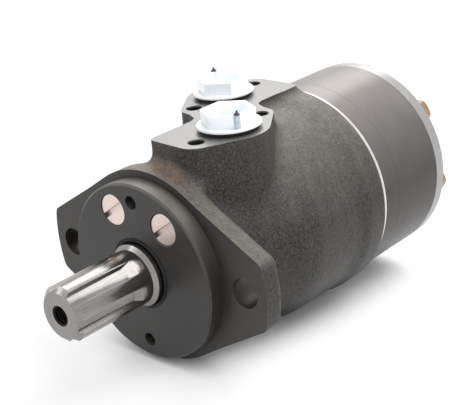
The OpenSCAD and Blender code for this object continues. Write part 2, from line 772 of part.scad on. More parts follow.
module cardan_spacer() {
    y1 = cover_y - face_gap;
    color([0.6, 0.6, 0.62]) at_polar(orbit_offset, set_turn)
        bar_y(spline_in_d / 2 - 0.1, y1 - spacer_t, y1);
}

/* Distributor plate, gerotor set and end cover */

module stack_disc(y0, y1) {
    difference() {
        bar_y(stack_d / 2, y0, y1);
        each_bolt(end_bolt_r) bar_y(end_bolt_hole_d / 2, y0 - 1, y1 + 1);
    }
}

module distributor_plate() {
    color([0.3, 0.3, 0.3]) difference() {
        stack_disc(plate_y, ring_y);
        bar_y(spool_bore_d / 2, plate_y - 1, ring_y + 1);
        each_bolt(channel_r) bar_y(channel_d / 2, plate_y - 1, ring_y + 1);
        ring_groove(o_ring_r, o_groove_w, ring_y - o_ring_t, ring_y + 1);
    }
}

module gerotor_ring() {
    color([0.25, 0.25, 0.25]) difference() {
        stack_disc(ring_y, cover_y);
        bar_y(ring_bore_d / 2, ring_y - 1, cover_y + 1);
        for (k = [0 : roller_n - 1]) at_polar(roller_circle_r, set_turn + k * roller_step)
            bar_y(roller_r + roller_gap, ring_y - 1, cover_y + 1);
    }
}

module roller(k) {
    color([0.8, 0.8, 0.82]) at_polar(roller_circle_r, set_turn + k * roller_step)
        bar_y(roller_r, ring_y + face_gap, cover_y - face_gap);
}

// The line that the rollers' middles follow around the star, and its outward direction.
function star_track(t) = roller_circle_r * [cos(t), sin(t)]
    - orbit_offset * [cos(roller_n * t), sin(roller_n * t)];
function star_out(t) =
    let (v = roller_circle_r * [cos(t), sin(t)]
        - roller_n * orbit_offset * [cos(roller_n * t), sin(roller_n * t)])
    v / norm(v);
function star_point(t) = star_track(t) - (roller_r + roller_gap) * star_out(t);

// The points lie closer together in the hollows, where the line turns fastest.
module star_outline() {
    steps = 40 * star_n;
    polygon([for (i = [0 : steps - 1])
        let (t = 360 * i / steps)
        star_point(t - 0.8 * sin(star_n * t) * 180 / (PI * star_n))]);
}

module star_rotor() {
    color([0.66, 0.66, 0.68]) at_polar(orbit_offset, set_turn) difference() {
        slab_y(ring_y + face_gap, cover_y - face_gap) rotate(set_turn) star_outline();
        inner_teeth_cut(ring_y - 1, cover_y + 1);
    }
}

module end_cover() {
    chamfer = 0.8;
    color([0.42, 0.42, 0.42]) difference() {
        union() {
            stack_disc(cover_y, rear_y - chamfer);
            difference() {
                along_y(rear_y - chamfer) cylinder(r1 = stack_d / 2, r2 = stack_d / 2 - chamfer,
                    h = chamfer);
                each_bolt(end_bolt_r) bar_y(end_bolt_hole_d / 2, cover_y, rear_y + 1);
            }
        }
        ring_groove(o_ring_r, o_groove_w, cover_y - 1, cover_y + o_ring_t);
    }
}

module end_bolts() {
    head_y = rear_y + washer_t;
    color([0.80, 0.64, 0.30]) each_bolt(end_bolt_r) {
        bar_y(end_bolt_d / 2, thread_y0, head_y);
        difference() {
            hex_y(end_bolt_af, head_y, head_y + end_bolt_head_h);
            difference() {
                bar_y(end_bolt_af, head_y + end_bolt_head_h - 1.2, head_y + end_bolt_head_h + 1);
                along_y(head_y + end_bolt_head_h - 1.2) cylinder(r1 = end_bolt_af * 0.58,
                    r2 = end_bolt_af * 0.46, h = 1.2);
            }
        }
    }
}

module end_washers() {
    color([0.74, 0.62, 0.40]) each_bolt(end_bolt_r) difference() {
        bar_y(washer_d / 2, rear_y, rear_y + washer_t);
        bar_y(end_bolt_d / 2 + 0.2, rear_y - 1, rear_y + washer_t + 1);
    }
}

/* Port caps */

cap_floor_z = cap_lift + cap_flange_t;

// A hollow hexagonal cap with its plug, standing on a port; side is 1 in front, -1 behind.
module port_cap(side) {
    turn = cap_pin_angle + (side > 0 ? 0 : 180);
    color([0.93, 0.94, 0.95])
        translate([side * port_dx, port_mid_y - side * port_dy, port_face_z]) difference() {
            union() {
                translate([0, 0, cap_lift]) cylinder(d = cap_flange_d, h = cap_flange_t * 0.6);
                translate([0, 0, cap_lift + cap_flange_t * 0.6])
                    cylinder(d1 = cap_flange_d, d2 = cap_flange_d - 1.6, h = cap_flange_t * 0.4);
                translate([0, 0, cap_lift + cap_flange_t / 2]) rotate(turn)
                    cylinder(d = cap_af / cos(30), h = cap_flange_t / 2 + cap_head_h, $fn = 6);
                translate([0, 0, -cap_plug_len]) cylinder(d = port_bore_d - 2 * cap_gap,
                    h = cap_plug_len + cap_lift + cap_flange_t / 2);
            }
            rotate(turn) translate([0, 0, cap_floor_z])
                cylinder(d = (cap_af - 2 * cap_wall) / cos(30), h = cap_head_h + 1, $fn = 6);
            cap_pin_hole(turn);
        }
}

// The pin stands in the outer side of a corner of the head.
cap_pin_r = cap_af / 2 / cos(30) - 0.2;
cap_pin_foot = 0.6;          // how far the pin is set into the flange

module cap_pin_hole(turn) {
    rotate(turn) translate([cap_pin_r, 0, cap_floor_z - cap_pin_foot])
        cylinder(d = cap_pin_d + 0.04, h = cap_head_h + 2, $fn = 32);
}

// The pin at the corner of the cap's head, with its stepped and pointed tip.
module cap_pin(side) {
    turn = cap_pin_angle + (side > 0 ? 0 : 180);
    straight = cap_pin_foot + cap_head_h + cap_pin_rise - 1.7;
    color([0.62, 0.67, 0.75])
        translate([side * port_dx, port_mid_y - side * port_dy, port_face_z + cap_floor_z - cap_pin_foot])
            rotate(turn) translate([cap_pin_r, 0, 0]) union() {
                cylinder(d = cap_pin_d, h = straight, $fn = 32);
                translate([0, 0, straight]) cylinder(d1 = cap_pin_d, d2 = cap_pin_d * 0.4, h = 0.7, $fn = 32);
                translate([0, 0, straight + 0.6]) cylinder(d1 = cap_pin_d * 0.42, d2 = 0.6, h = 1.1, $fn = 24);
            }
}

// The rubber ring between a cap's flange and the port face.
module cap_ring(side) {
    inner = port_bore_d / 2 - cap_gap + 0.1;
    color([0.06, 0.06, 0.06])
        translate([side * port_dx, port_mid_y - side * port_dy, port_face_z]) rotate_extrude($fn = 96) polygon([
            [inner, 0.05], [cap_ring_d / 2 - 0.4, 0.05], [cap_ring_d / 2, 0.45],
            [cap_ring_d / 2, cap_lift - 0.45], [cap_ring_d / 2 - 0.4, cap_lift - 0.05], [inner, cap_lift - 0.05]]);
}

/* Drain plug */

module drain_washer() {
    color([0.72, 0.45, 0.28]) at_drain(drain_reach) difference() {
        cylinder(d = drain_boss_d - 2, h = drain_washer_t);
        translate([0, 0, -1]) cylinder(d = drain_d + 0.4, h = drain_washer_t + 2);
    }
}

module drain_plug() {
    color([0.72, 0.60, 0.34]) at_drain(drain_reach) {
        translate([0, 0, -drain_plug_len]) cylinder(d = drain_d - slip, h = drain_plug_len + drain_washer_t);
        translate([0, 0, drain_washer_t]) cylinder(d = drain_boss_d - 2.6, h = 2);
        translate([0, 0, drain_washer_t]) cylinder(d = drain_af / cos(30), h = drain_head_h, $fn = 6);
    }
}

housing();
front_cover();
dust_seal();
shaft_seal();
cover_o_ring();
cover_screws();
check_plugs();
check_ball(check_angle_right);  // check_ball_right
check_ball(check_angle_left);  // check_ball_left
thrust_race(thrust_y0);  // thrust_race_front
thrust_race(spool_front - thrust_race_t);  // thrust_race_rear
thrust_cage();
thrust_needles();
output_shaft();
cardan_shaft();
cardan_spacer();
color([0.08, 0.08, 0.08]) clamped_ring(o_ring_r, o_ring_t, housing_len - o_ring_t);  // housing_o_ring
distributor_plate();
color([0.08, 0.08, 0.08]) clamped_ring(o_ring_r, o_ring_t, ring_y - o_ring_t);  // plate_o_ring
gerotor_ring();
roller(0);  // roller_1
roller(1);  // roller_2
roller(2);  // roller_3
roller(3);  // roller_4
roller(4);  // roller_5
roller(5);  // roller_6
roller(6);  // roller_7
star_rotor();
color([0.08, 0.08, 0.08]) clamped_ring(o_ring_r, o_ring_t, cover_y);  // end_o_ring
end_cover();
end_bolts();
end_washers();
port_cap(1);  // port_cap_front
port_cap(-1);  // port_cap_rear
cap_ring(1);  // cap_ring_front
cap_ring(-1);  // cap_ring_rear
cap_pin(1);  // cap_pin_front
cap_pin(-1);  // cap_pin_rear
drain_plug();
drain_washer();
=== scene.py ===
"""Orbital hydraulic motor with an oval flange, a splined shaft and two capped ports.

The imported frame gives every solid. This script sets the camera, the stage and the lamps,
pours the housing as a filleted casting and gives each part its own finish. Sizes are in
millimetres unless a name says otherwise; meshes are turned into metres when they are made.
"""

import logging
import math
from dataclasses import dataclass
from enum import Enum
from typing import Optional, Sequence

import bmesh
import bpy
import numpy as np
from mathutils import Matrix, Vector


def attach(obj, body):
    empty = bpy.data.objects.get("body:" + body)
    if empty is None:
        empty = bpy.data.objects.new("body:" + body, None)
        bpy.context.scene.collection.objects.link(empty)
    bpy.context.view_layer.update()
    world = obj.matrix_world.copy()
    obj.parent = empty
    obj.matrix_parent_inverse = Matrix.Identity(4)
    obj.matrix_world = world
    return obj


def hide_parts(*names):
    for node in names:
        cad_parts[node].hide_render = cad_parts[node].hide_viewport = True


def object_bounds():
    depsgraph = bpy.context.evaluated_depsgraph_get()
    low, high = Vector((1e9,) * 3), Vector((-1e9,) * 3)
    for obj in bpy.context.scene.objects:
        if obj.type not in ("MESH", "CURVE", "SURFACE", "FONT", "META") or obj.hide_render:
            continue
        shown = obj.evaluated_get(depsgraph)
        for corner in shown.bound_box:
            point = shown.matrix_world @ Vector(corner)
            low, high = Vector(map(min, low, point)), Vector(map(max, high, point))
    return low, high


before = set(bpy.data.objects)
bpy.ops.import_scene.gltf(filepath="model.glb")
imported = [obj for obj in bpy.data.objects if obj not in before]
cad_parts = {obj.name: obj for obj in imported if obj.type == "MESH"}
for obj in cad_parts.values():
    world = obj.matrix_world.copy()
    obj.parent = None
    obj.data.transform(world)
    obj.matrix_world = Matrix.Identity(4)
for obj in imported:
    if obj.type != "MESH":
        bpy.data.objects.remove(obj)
CAD_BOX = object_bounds()

MM = 0.001
IMAGE_WIDTH_PX = 466.0
log = logging.getLogger("motor")

Colour = tuple[float, float, float]
Place = tuple[float, float, float]
Outline = list[tuple[float, float]]
Value = float | Sequence[float] | bpy.types.NodeSocket


class Marks(Enum):
    """The direction in which a tool left its marks on a metal surface."""

    TURNED = "turned"
    LENGTHWISE = "lengthwise"
    MILLED = "milled"
    NONE = "none"


# Shader wiring


class NodeBench:
    """A tree of nodes and the few moves that wire it."""

    def __init__(self, tree: bpy.types.NodeTree) -> None:
        """Opens a tree.

        Args:
            tree: The nodes of a material or of the world.
        """
        self.tree = tree

    def find(self, kind: str) -> bpy.types.Node:
        """Finds the tree's own node of a kind."""
        return next(n for n in self.tree.nodes if n.type == kind)

    def feed(self, socket: bpy.types.NodeSocket, value: Value) -> None:
        """Links a socket or sets its own value.

        Args:
            socket: The input to feed.
            value: Another node's output, or a plain value.
        """
        if isinstance(value, bpy.types.NodeSocket):
            self.tree.links.new(value, socket)
        elif isinstance(value, (int, float)):
            socket.default_value = value
        else:
            wide = len(socket.default_value)
            socket.default_value = tuple(value)[:wide] + (1.0,) * (wide - len(value))

    def add(self, kind: str, inputs: dict, **settings: object) -> bpy.types.Node:
        """Adds a node, sets its options and feeds its inputs.

        Args:
            kind: Blender's name of the node type.
            inputs: Values or outputs by the input's name or number.
            settings: The node's own options.

        Returns:
            The new node.
        """
        made = self.tree.nodes.new(kind)
        for option, choice in settings.items():
            setattr(made, option, choice)
        for key, value in inputs.items():
            self.feed(made.inputs[key], value)
        return made

    def math(self, operation: str, first: Value, second: Value = 0.0) -> bpy.types.NodeSocket:
        """Works out one number from two.

        Args:
            operation: Blender's name of the operation.
            first: The first value.
            second: The second value.

        Returns:
            The output that carries the number.
        """
        return self.add("ShaderNodeMath", {0: first, 1: second}, operation=operation).outputs[0]

    def spread(
        self, value: Value, low: float, high: float, to_low: float, to_high: float
    ) -> bpy.types.NodeSocket:
        """Stretches a number from one range to another, held at both ends.

        Args:
            value: The number.
            low: The start of its range.
            high: The end of its range.
            to_low: What the start becomes.
            to_high: What the end becomes.

        Returns:
            The output with the new number.
        """
        inputs = {0: value, 1: low, 2: high, 3: to_low, 4: to_high}
        return self.add("ShaderNodeMapRange", inputs, clamp=True).outputs[0]

    def seen(self) -> bpy.types.NodeSocket:
        """Tells the rays that show the surroundings from those that light a piece.

        Returns:
            The output, 1 for what is seen directly, in metal or through glass.
        """
        rays = self.tree.nodes.new("ShaderNodeLightPath").outputs
        shown = self.math("MAXIMUM", rays["Is Camera Ray"], rays["Is Glossy Ray"])
        return self.math("MAXIMUM", shown, rays["Is Transmission Ray"])


class ShaderBench(NodeBench):
    """One new material with a Principled shader, and the patterns that finishes share.

    Attributes:
        EDGE_START: How far a rounded normal leans where the edge mask starts, as a cosine.
        EDGE_FULL: How far it leans where the mask is full.
        MILL_OUT: How far the milling head's axis lies from the shaft's, in metres.
        MARK_STRETCH: How far a milled, a turned and a lengthwise mark runs, as a share.
        SHAFT_R: The radius at which lengthwise marks keep their width, in metres.
    """

    EDGE_START = 0.995
    EDGE_FULL = 0.86
    MILL_OUT = (0.11, 0.02)
    MARK_STRETCH = {Marks.MILLED: 0.004, Marks.TURNED: 0.0012, Marks.LENGTHWISE: 0.03}
    SHAFT_R = 0.0127

    def __init__(self, name: str, colour: Colour) -> None:
        """Opens a material with a plain Principled shader.

        Args:
            name: The material's name.
            colour: Its colour in the viewport, linear.
        """
        self.material = bpy.data.materials.new(name)
        self.material.use_nodes = True
        self.material.diffuse_color = (*colour, 1.0)
        super().__init__(self.material.node_tree)
        self.shader = self.find("BSDF_PRINCIPLED")
        self.place = self.tree.nodes.new("ShaderNodeTexCoord").outputs["Object"]

    def coat(self, name: str, value: Value) -> None:
        """Feeds one of the Principled shader's inputs by its name."""
        self.feed(self.shader.inputs[name], value)

    def noise(
        self, per_metre: float, detail: float = 3.0, rough: float = 0.55, at: Optional[Value] = None
    ) -> bpy.types.NodeSocket:
        """Lays a cloudy pattern.

        Args:
            per_metre: How many features fit in a metre.
            detail: How many finer layers are added.
            rough: How strong those layers are.
            at: The coordinates, or None for the piece's own.

        Returns:
            The output with the pattern, from 0 to 1.
        """
        where = self.place if at is None else at
        inputs = {"Vector": where, "Scale": per_metre, "Detail": detail, "Roughness": rough}
        return self.add("ShaderNodeTexNoise", inputs).outputs["Fac"]

    def blend(self, share: Value, first: Value, second: Value) -> bpy.types.NodeSocket:
        """Mixes two colours.

        Args:
            share: How much of the second one shows.
            first: The first colour.
            second: The second colour.

        Returns:
            The output with the mixed colour.
        """
        made = self.add("ShaderNodeMix", {0: share}, data_type="RGBA")
        self.feed(made.inputs[6], first)
        self.feed(made.inputs[7], second)
        return made.outputs[2]

    def bump(
        self, height: Value, depth_mm: float, strength: float = 1.0, under: Optional[Value] = None
    ) -> bpy.types.NodeSocket:
        """Turns a height into a normal.

        Args:
            height: The height pattern, from 0 to 1.
            depth_mm: How deep it is.
            strength: How much of it shows.
            under: A normal that lies under this one, or None.

        Returns:
            The output with the normal.
        """
        inputs: dict = {"Height": height, "Distance": depth_mm * MM, "Strength": strength}
        if under is not None:
            inputs["Normal"] = under
        return self.add("ShaderNodeBump", inputs).outputs["Normal"]

    def edge_mask(self, reach_mm: float) -> bpy.types.NodeSocket:
        """Finds the narrow strip along the outer edges where handling wears a finish.

        Args:
            reach_mm: How wide the strip is.

        Returns:
            The output with the mask, 1 at an edge.
        """
        rounded = self.add("ShaderNodeBevel", {"Radius": reach_mm * MM}, samples=6).outputs[0]
        flat = self.tree.nodes.new("ShaderNodeNewGeometry").outputs["Normal"]
        facing = self.add("ShaderNodeVectorMath", {0: rounded, 1: flat}, operation="DOT_PRODUCT")
        return self.spread(facing.outputs["Value"], self.EDGE_START, self.EDGE_FULL, 0.0, 1.0)

    def painted_shade_openness(self, reach_mm: float) -> bpy.types.NodeSocket:
        """Finds how open a spot is, for shade painted into corners, hollows and the floor under the
        motor.

        Args:
            reach_mm: How wide a hollow may be.

        Returns:
            The output, 0 deep in a hollow and 1 in the open.
        """
        found = self.add("ShaderNodeAmbientOcclusion", {"Distance": reach_mm * MM}, samples=8)
        return found.outputs["AO"]

    def top_light_mask(self, low: float, high: float) -> bpy.types.NodeSocket:
        """Finds the faces that look up, on a part that never turns, for light painted from above.

        Args:
            low: The share of the normal that looks up at which the mask starts.
            high: The share at which it is full.

        Returns:
            The output with the mask.
        """
        normal = self.tree.nodes.new("ShaderNodeNewGeometry").outputs["Normal"]
        return self.spread(self.split(normal)[2], low, high, 0.0, 1.0)

    def split(self, vector: Value) -> Sequence[bpy.types.NodeSocket]:
        """Takes a vector apart into its three numbers."""
        return self.add("ShaderNodeSeparateXYZ", {0: vector}).outputs

    def join(self, x: Value, y: Value, z: Value) -> bpy.types.NodeSocket:
        """Makes a vector of three numbers."""
        return self.add("ShaderNodeCombineXYZ", {0: x, 1: y, 2: z}).outputs[0]

    def far_side(self, first: Value, second: Value) -> bpy.types.NodeSocket:
        """Works out the longest side of a right-angled triangle.

        Args:
            first: One short side.
            second: The other short side.

        Returns:
            The output that carries its length.
        """
        squares = self.math("ADD", self.math("POWER", first, 2.0), self.math("POWER", second, 2.0))
        return self.math("SQRT", squares)

    def turned_place(self, marks: Marks) -> bpy.types.NodeSocket:
        """Gives coordinates that run along a tool's marks about the shaft's axis.

        Args:
            marks: The direction of the marks.

        Returns:
            The output with the coordinates, in metres.
        """
        x, y, z = self.split(self.place)
        stretch = self.MARK_STRETCH[marks]
        if marks is Marks.MILLED:
            out_x = self.math("ADD", x, self.MILL_OUT[0])
            out_y = self.math("SUBTRACT", y, self.MILL_OUT[1])
            around = self.math("MULTIPLY", self.math("ARCTAN2", out_y, out_x), stretch)
            return self.join(self.far_side(out_x, out_y), around, z)
        reach = self.far_side(x, z)
        around = self.math("ARCTAN2", z, x)
        if marks is Marks.TURNED:
            return self.join(reach, y, self.math("MULTIPLY", around, stretch))
        along = self.math("MULTIPLY", y, stretch)
        return self.join(reach, self.math("MULTIPLY", around, self.SHAFT_R), along)


# Finishes


@dataclass(frozen=True)
class Finish:
    """What every finish shares.

    Attributes:
        name: The material's name.
        colour: Its base colour, linear.
        metallic: How much it is bare metal.
        roughness: How dull it is.
        ior: Its index of refraction, which is high for a dark polished skin.
    """

    name: str
    colour: Colour
    metallic: float = 0.0
    roughness: float = 0.5
    ior: float = 1.5

    def make(self) -> bpy.types.Material:
        """Builds the material.

        Returns:
            The finished material.
        """
        bench = ShaderBench(self.name, self.colour)
        bench.coat("Metallic", self.metallic)
        bench.coat("IOR", self.ior)
        self.wire(bench)
        log.info("finish %s", self.name)
        return bench.material

    def wire(self, bench: ShaderBench) -> None:
        """Wires colour, roughness and bump; each finish has its own way.

        Args:
            bench: The material being made.
        """
        bench.coat("Base Color", self.colour)
        bench.coat("Roughness", self.roughness)

    def dulled(
        self, bench: ShaderBench, pattern: Value, less: float, more: float
    ) -> bpy.types.NodeSocket:
        """Varies the roughness with a pattern.

        Args:
            bench: The material being made.
            pattern: The pattern, from 0 to 1.
            less: How much smoother its low parts are.
            more: How much duller its high parts are.

        Returns:
            The output with the roughness.
        """
        return bench.spread(pattern, 0.3, 0.7, self.roughness - less, self.roughness + more)

    def tinted(self, share: float) -> Colour:
        """Gives the base colour, lighter or darker.

        Args:
            share: What the colour is multiplied by.

        Returns:
            The new colour.
        """
        return tuple(min(1.0, c * share) for c in self.colour)


@dataclass(frozen=True)
class RustSpot:
    """A patch of thin rust on the casting.

    Attributes:
        place: Its middle, in millimetres.
        reach: How far it spreads, in millimetres.
        share: How much of it shows.
    """

    place: Place
    reach: float
    share: float


@dataclass(frozen=True)
class CastSkin(Finish):
    """Sand-cast iron with its grain, small pits, soft streaks and patches of rust, with light from
    above and shade in its hollows painted into its colour.

    Attributes:
        grain_per_m: How many grains fit in a metre.
        grain_mm: How deep the grain is.
        grain_tones: The tones of the grain's low and high parts.
        sand_mm: How deep the coarser waves of the sand are.
        pit_per_m: How many pits fit in a metre.
        pit_mm: How deep the pits are.
        stain_per_m: How many clouds of stain fit in a metre.
        stain_tone: The tone of a stain.
        streak_per_m: How many pale streaks fit in a metre.
        streak_stretch: How much a streak is drawn out downwards.
        streak_tone: The tone of a streak.
        edge_reach: How wide the worn strip along the edges is.
        edge_share: How much of the wear shows.
        edge_tone: The tone of a worn edge.
        painted_top_light: How much lighter the faces that look up are painted, a painted light from
            above.
        pocket_shade_reach: How wide a hollow with painted shade may be.
        pocket_shade_share: How much of its tone a deep hollow keeps under the painted shade.
        rust: The rust's colour.
        spots: Where rust shows.
    """

    grain_per_m: float = 1250.0
    grain_mm: float = 0.14
    grain_tones: tuple[float, float] = (0.8, 1.2)
    sand_mm: float = 0.6
    pit_per_m: float = 430.0
    pit_mm: float = 0.14
    stain_per_m: float = 62.0
    stain_tone: float = 0.76
    streak_per_m: float = 230.0
    streak_stretch: float = 0.12
    streak_tone: float = 1.8
    edge_reach: float = 0.9
    edge_share: float = 0.45
    edge_tone: float = 2.4
    painted_top_light: float = 4.0
    pocket_shade_reach: float = 26.0
    pocket_shade_share: float = 0.3
    rust: Colour = (0.115, 0.072, 0.042)
    spots: tuple[RustSpot, ...] = (
        RustSpot((2.0, 12.0, 40.0), 17.0, 0.36),
        RustSpot((14.0, 11.0, 38.0), 12.0, 0.22),
        RustSpot((46.0, 80.0, 4.0), 24.0, 0.1),
    )

    def wire(self, bench: ShaderBench) -> None:
        """Lays sand grain, pits, streaks and rust, and paints light from above and shade in the
        hollows.

        Args:
            bench: The material being made.
        """
        grain = bench.noise(self.grain_per_m, 3.0, 0.6)
        grain.node.inputs["Distortion"].default_value = 0.9
        sand = bench.noise(self.grain_per_m * 0.5, 4.0, 0.66)
        stain = bench.noise(self.stain_per_m, 3.0, 0.6)
        cells = {"Vector": bench.place, "Scale": self.pit_per_m, "Randomness": 1.0}
        pits = bench.add("ShaderNodeTexVoronoi", cells)
        pit = bench.spread(pits.outputs["Distance"], 0.0, 0.42, 0.0, 1.0)
        speck = bench.spread(grain, 0.34, 0.68, 0.0, 1.0)
        body = bench.blend(speck, *(self.tinted(tone) for tone in self.grain_tones))
        clouds = bench.spread(stain, 0.35, 0.7, 0.0, 0.5)
        stained = bench.blend(clouds, body, self.tinted(self.stain_tone))
        streaked = bench.blend(self.streaks(bench), stained, self.tinted(self.streak_tone))
        rusted = bench.blend(self.rust_mask(bench, stain, speck), streaked, self.rust)
        edge = bench.math("MULTIPLY", bench.edge_mask(self.edge_reach), self.edge_share)
        worn = bench.blend(edge, rusted, self.tinted(self.edge_tone))
        # Faces that look up are painted lighter as light from above, and deep hollows are painted
        # darker as shade.
        top = bench.spread(bench.top_light_mask(0.15, 0.95), 0.0, 1.0, 1.0, self.painted_top_light)
        pocket_shade = bench.spread(bench.painted_shade_openness(self.pocket_shade_reach), 0.25, 0.85, self.pocket_shade_share, 1.0)
        shaded = bench.add("ShaderNodeVectorMath", {0: worn}, operation="SCALE")
        bench.feed(shaded.inputs["Scale"], bench.math("MULTIPLY", top, pocket_shade))
        bench.coat("Base Color", shaded.outputs[0])
        glint = bench.math("MULTIPLY", bench.spread(speck, 0.2, 1.0, 0.15, 0.75), pocket_shade)
        bench.coat("Specular IOR Level", glint)
        rough = self.dulled(bench, grain, 0.08, 0.1)
        bench.coat("Roughness", rough)
        low = bench.bump(pit, self.pit_mm, 0.5)
        mid = bench.bump(sand, self.sand_mm, 0.85, low)
        bench.coat("Normal", bench.bump(grain, self.grain_mm, 0.8, mid))

    def streaks(self, bench: ShaderBench) -> bpy.types.NodeSocket:
        """Lays soft pale streaks that run down the walls.

        Args:
            bench: The material being made.

        Returns:
            The output with the streaks' share.
        """
        x, y, z = bench.split(bench.place)
        drawn = bench.join(x, y, bench.math("MULTIPLY", z, self.streak_stretch))
        return bench.spread(bench.noise(self.streak_per_m, 2.0, 0.5, drawn), 0.5, 0.74, 0.0, 0.4)

    def rust_mask(self, bench: ShaderBench, stain: Value, speck: Value) -> bpy.types.NodeSocket:
        """Finds where rust shows.

        Args:
            bench: The material being made.
            stain: The wide cloudy pattern.
            speck: The grain's pattern.

        Returns:
            The output with the rust's share.
        """
        total: Value = 0.0
        for spot in self.spots:
            ends = {0: bench.place, 1: tuple(c * MM for c in spot.place)}
            away = bench.add("ShaderNodeVectorMath", ends, operation="DISTANCE")
            near = bench.spread(away.outputs["Value"], spot.reach * MM, 0.0, 0.0, spot.share)
            total = bench.math("ADD", near, total)
        cloudy = bench.math("MULTIPLY", total, bench.spread(stain, 0.3, 0.62, 0.35, 1.5))
        return bench.math("MULTIPLY", cloudy, bench.spread(speck, 0.0, 1.0, 0.6, 1.25))


@dataclass(frozen=True)
class MachinedMetal(Finish):
    """Metal that a tool has cut or ground, with its fine marks and paler edges.

    Attributes:
        marks: The direction of the tool's marks.
        pitch_per_m: How many marks fit in a metre.
        mark_mm: How deep they are.
        variation: How much they change the tone.
        cloud_per_m: How many soft clouds fit in a metre.
        fine_per_m: How many of the finest scratches fit in a metre.
        edge_gain: How much paler the edges are.
        edge_reach: How wide the pale strip along them is.
        edge_share: How much of it shows.
        painted_top_light: How much paler the faces that look up are painted, a painted light from
            above.
    """

    marks: Marks = Marks.TURNED
    pitch_per_m: float = 2600.0
    mark_mm: float = 0.012
    variation: float = 0.14
    cloud_per_m: float = 85.0
    fine_per_m: float = 4200.0
    edge_gain: float = 1.5
    edge_reach: float = 0.5
    edge_share: float = 0.7
    painted_top_light: float = 1.0

    def wire(self, bench: ShaderBench) -> None:
        """Lays tool marks, clouding, bright edges and, where asked, painted top light.

        Args:
            bench: The material being made.
        """
        if self.marks is Marks.NONE:
            lines = bench.noise(self.pitch_per_m, 3.0, 0.6)
        else:
            lines = bench.noise(self.pitch_per_m, 2.0, 0.7, bench.turned_place(self.marks))
        cloud = bench.noise(self.cloud_per_m, 3.0, 0.6)
        fine = bench.noise(self.fine_per_m, 2.0, 0.5)
        tone = bench.math("MULTIPLY_ADD", lines, self.variation)
        tone.node.inputs[2].default_value = 1.0 - self.variation * 0.5
        clouded = bench.math("MULTIPLY", tone, bench.spread(cloud, 0.3, 0.7, 0.94, 1.05))
        scaled = bench.add("ShaderNodeVectorMath", {0: self.colour}, operation="SCALE")
        # Faces that look up are painted paler as light from above.
        if self.painted_top_light != 1.0:
            top = bench.spread(bench.top_light_mask(0.1, 0.95), 0.0, 1.0, 1.0, self.painted_top_light)
            clouded = bench.math("MULTIPLY", clouded, top)
        bench.feed(scaled.inputs["Scale"], clouded)
        edge = bench.math("MULTIPLY", bench.edge_mask(self.edge_reach), self.edge_share)
        bench.coat("Base Color", bench.blend(edge, scaled.outputs[0], self.tinted(self.edge_gain)))
        rough = bench.math("ADD", bench.spread(lines, 0.25, 0.75, -0.05, 0.06), self.roughness)
        clouds = bench.spread(cloud, 0.3, 0.7, -0.03, 0.03)
        bench.coat("Roughness", bench.math("ADD", rough, clouds))
        low = bench.bump(fine, self.mark_mm * 0.5, 0.4)
        bench.coat("Normal", bench.bump(lines, self.mark_mm, 0.8, low))


@dataclass(frozen=True)
class GroundShaft(Finish):
    """Ground and splined shaft steel with a turned, duller end face and a threaded hole, both
    painted darker as shade.

    Attributes:
        end_y: Where the end face begins, along the axis.
        hole_r: The radius of the threaded hole with its chamfer.
        thread_per_m: How many turns of its thread fit in a metre.
        end_share: How much of the darker tone the end face takes.
        end_tone: That darker tone, painted shade on the end face that looks forwards.
        hole_shade_tone: The tone inside the hole.
        ring_per_m: How many grinding rings fit in a metre.
        drawn_per_m: How many lengthwise marks fit in a metre.
        cloud_per_m: How many soft clouds fit in a metre.
    """

    end_y: float = -53.95
    hole_r: float = 4.7
    thread_per_m: float = 800.0
    end_share: float = 0.02
    end_tone: float = 0.3
    # hole_shade_tone: The tone inside the hole, painted shade.
    hole_shade_tone: float = 0.05
    ring_per_m: float = 2600.0
    drawn_per_m: float = 2200.0
    cloud_per_m: float = 160.0

    def wire(self, bench: ShaderBench) -> None:
        """Lays grinding marks, the duller end face and the thread in the hole, and paints shade on
        the end face and in the hole.

        Args:
            bench: The material being made.
        """
        x, y, z = bench.split(bench.place)
        reach = bench.far_side(x, z)
        ground = bench.noise(self.ring_per_m, 2.0, 0.6, bench.turned_place(Marks.TURNED))
        lengthwise = bench.turned_place(Marks.LENGTHWISE)
        drawn = bench.noise(self.drawn_per_m, 2.0, 0.6, lengthwise)
        cloud = bench.noise(self.cloud_per_m, 3.0, 0.6)
        # The end face and the threaded hole are painted darker as shade.
        end = bench.math("MULTIPLY", bench.math("LESS_THAN", y, self.end_y * MM), self.end_share)
        hole = bench.math("LESS_THAN", reach, self.hole_r * MM)
        lit = bench.spread(drawn, 0.3, 0.72, 0.0, 1.0)
        tone = bench.blend(lit, self.tinted(0.8), self.tinted(1.08))
        clouded = bench.blend(bench.spread(cloud, 0.4, 0.75, 0.0, 0.35), tone, self.tinted(0.7))
        faced = bench.blend(end, clouded, self.tinted(self.end_tone))
        edge = bench.math("MULTIPLY", bench.edge_mask(0.3), 0.8)
        worn = bench.blend(edge, faced, self.tinted(1.2))
        bench.coat("Base Color", bench.blend(hole, worn, self.tinted(self.hole_shade_tone)))
        rough = self.dulled(bench, drawn, 0.04, 0.06)
        bench.coat("Roughness", bench.math("ADD", bench.math("MULTIPLY", end, 0.5), rough))
        turns = bench.math("SINE", bench.math("MULTIPLY", y, self.thread_per_m * math.tau))
        thread = bench.bump(bench.math("MULTIPLY", turns, hole), 0.5, 1.0)
        rings = bench.bump(ground, 0.006, 0.6, thread)
        bench.coat("Normal", bench.bump(drawn, 0.008, 0.6, rings))


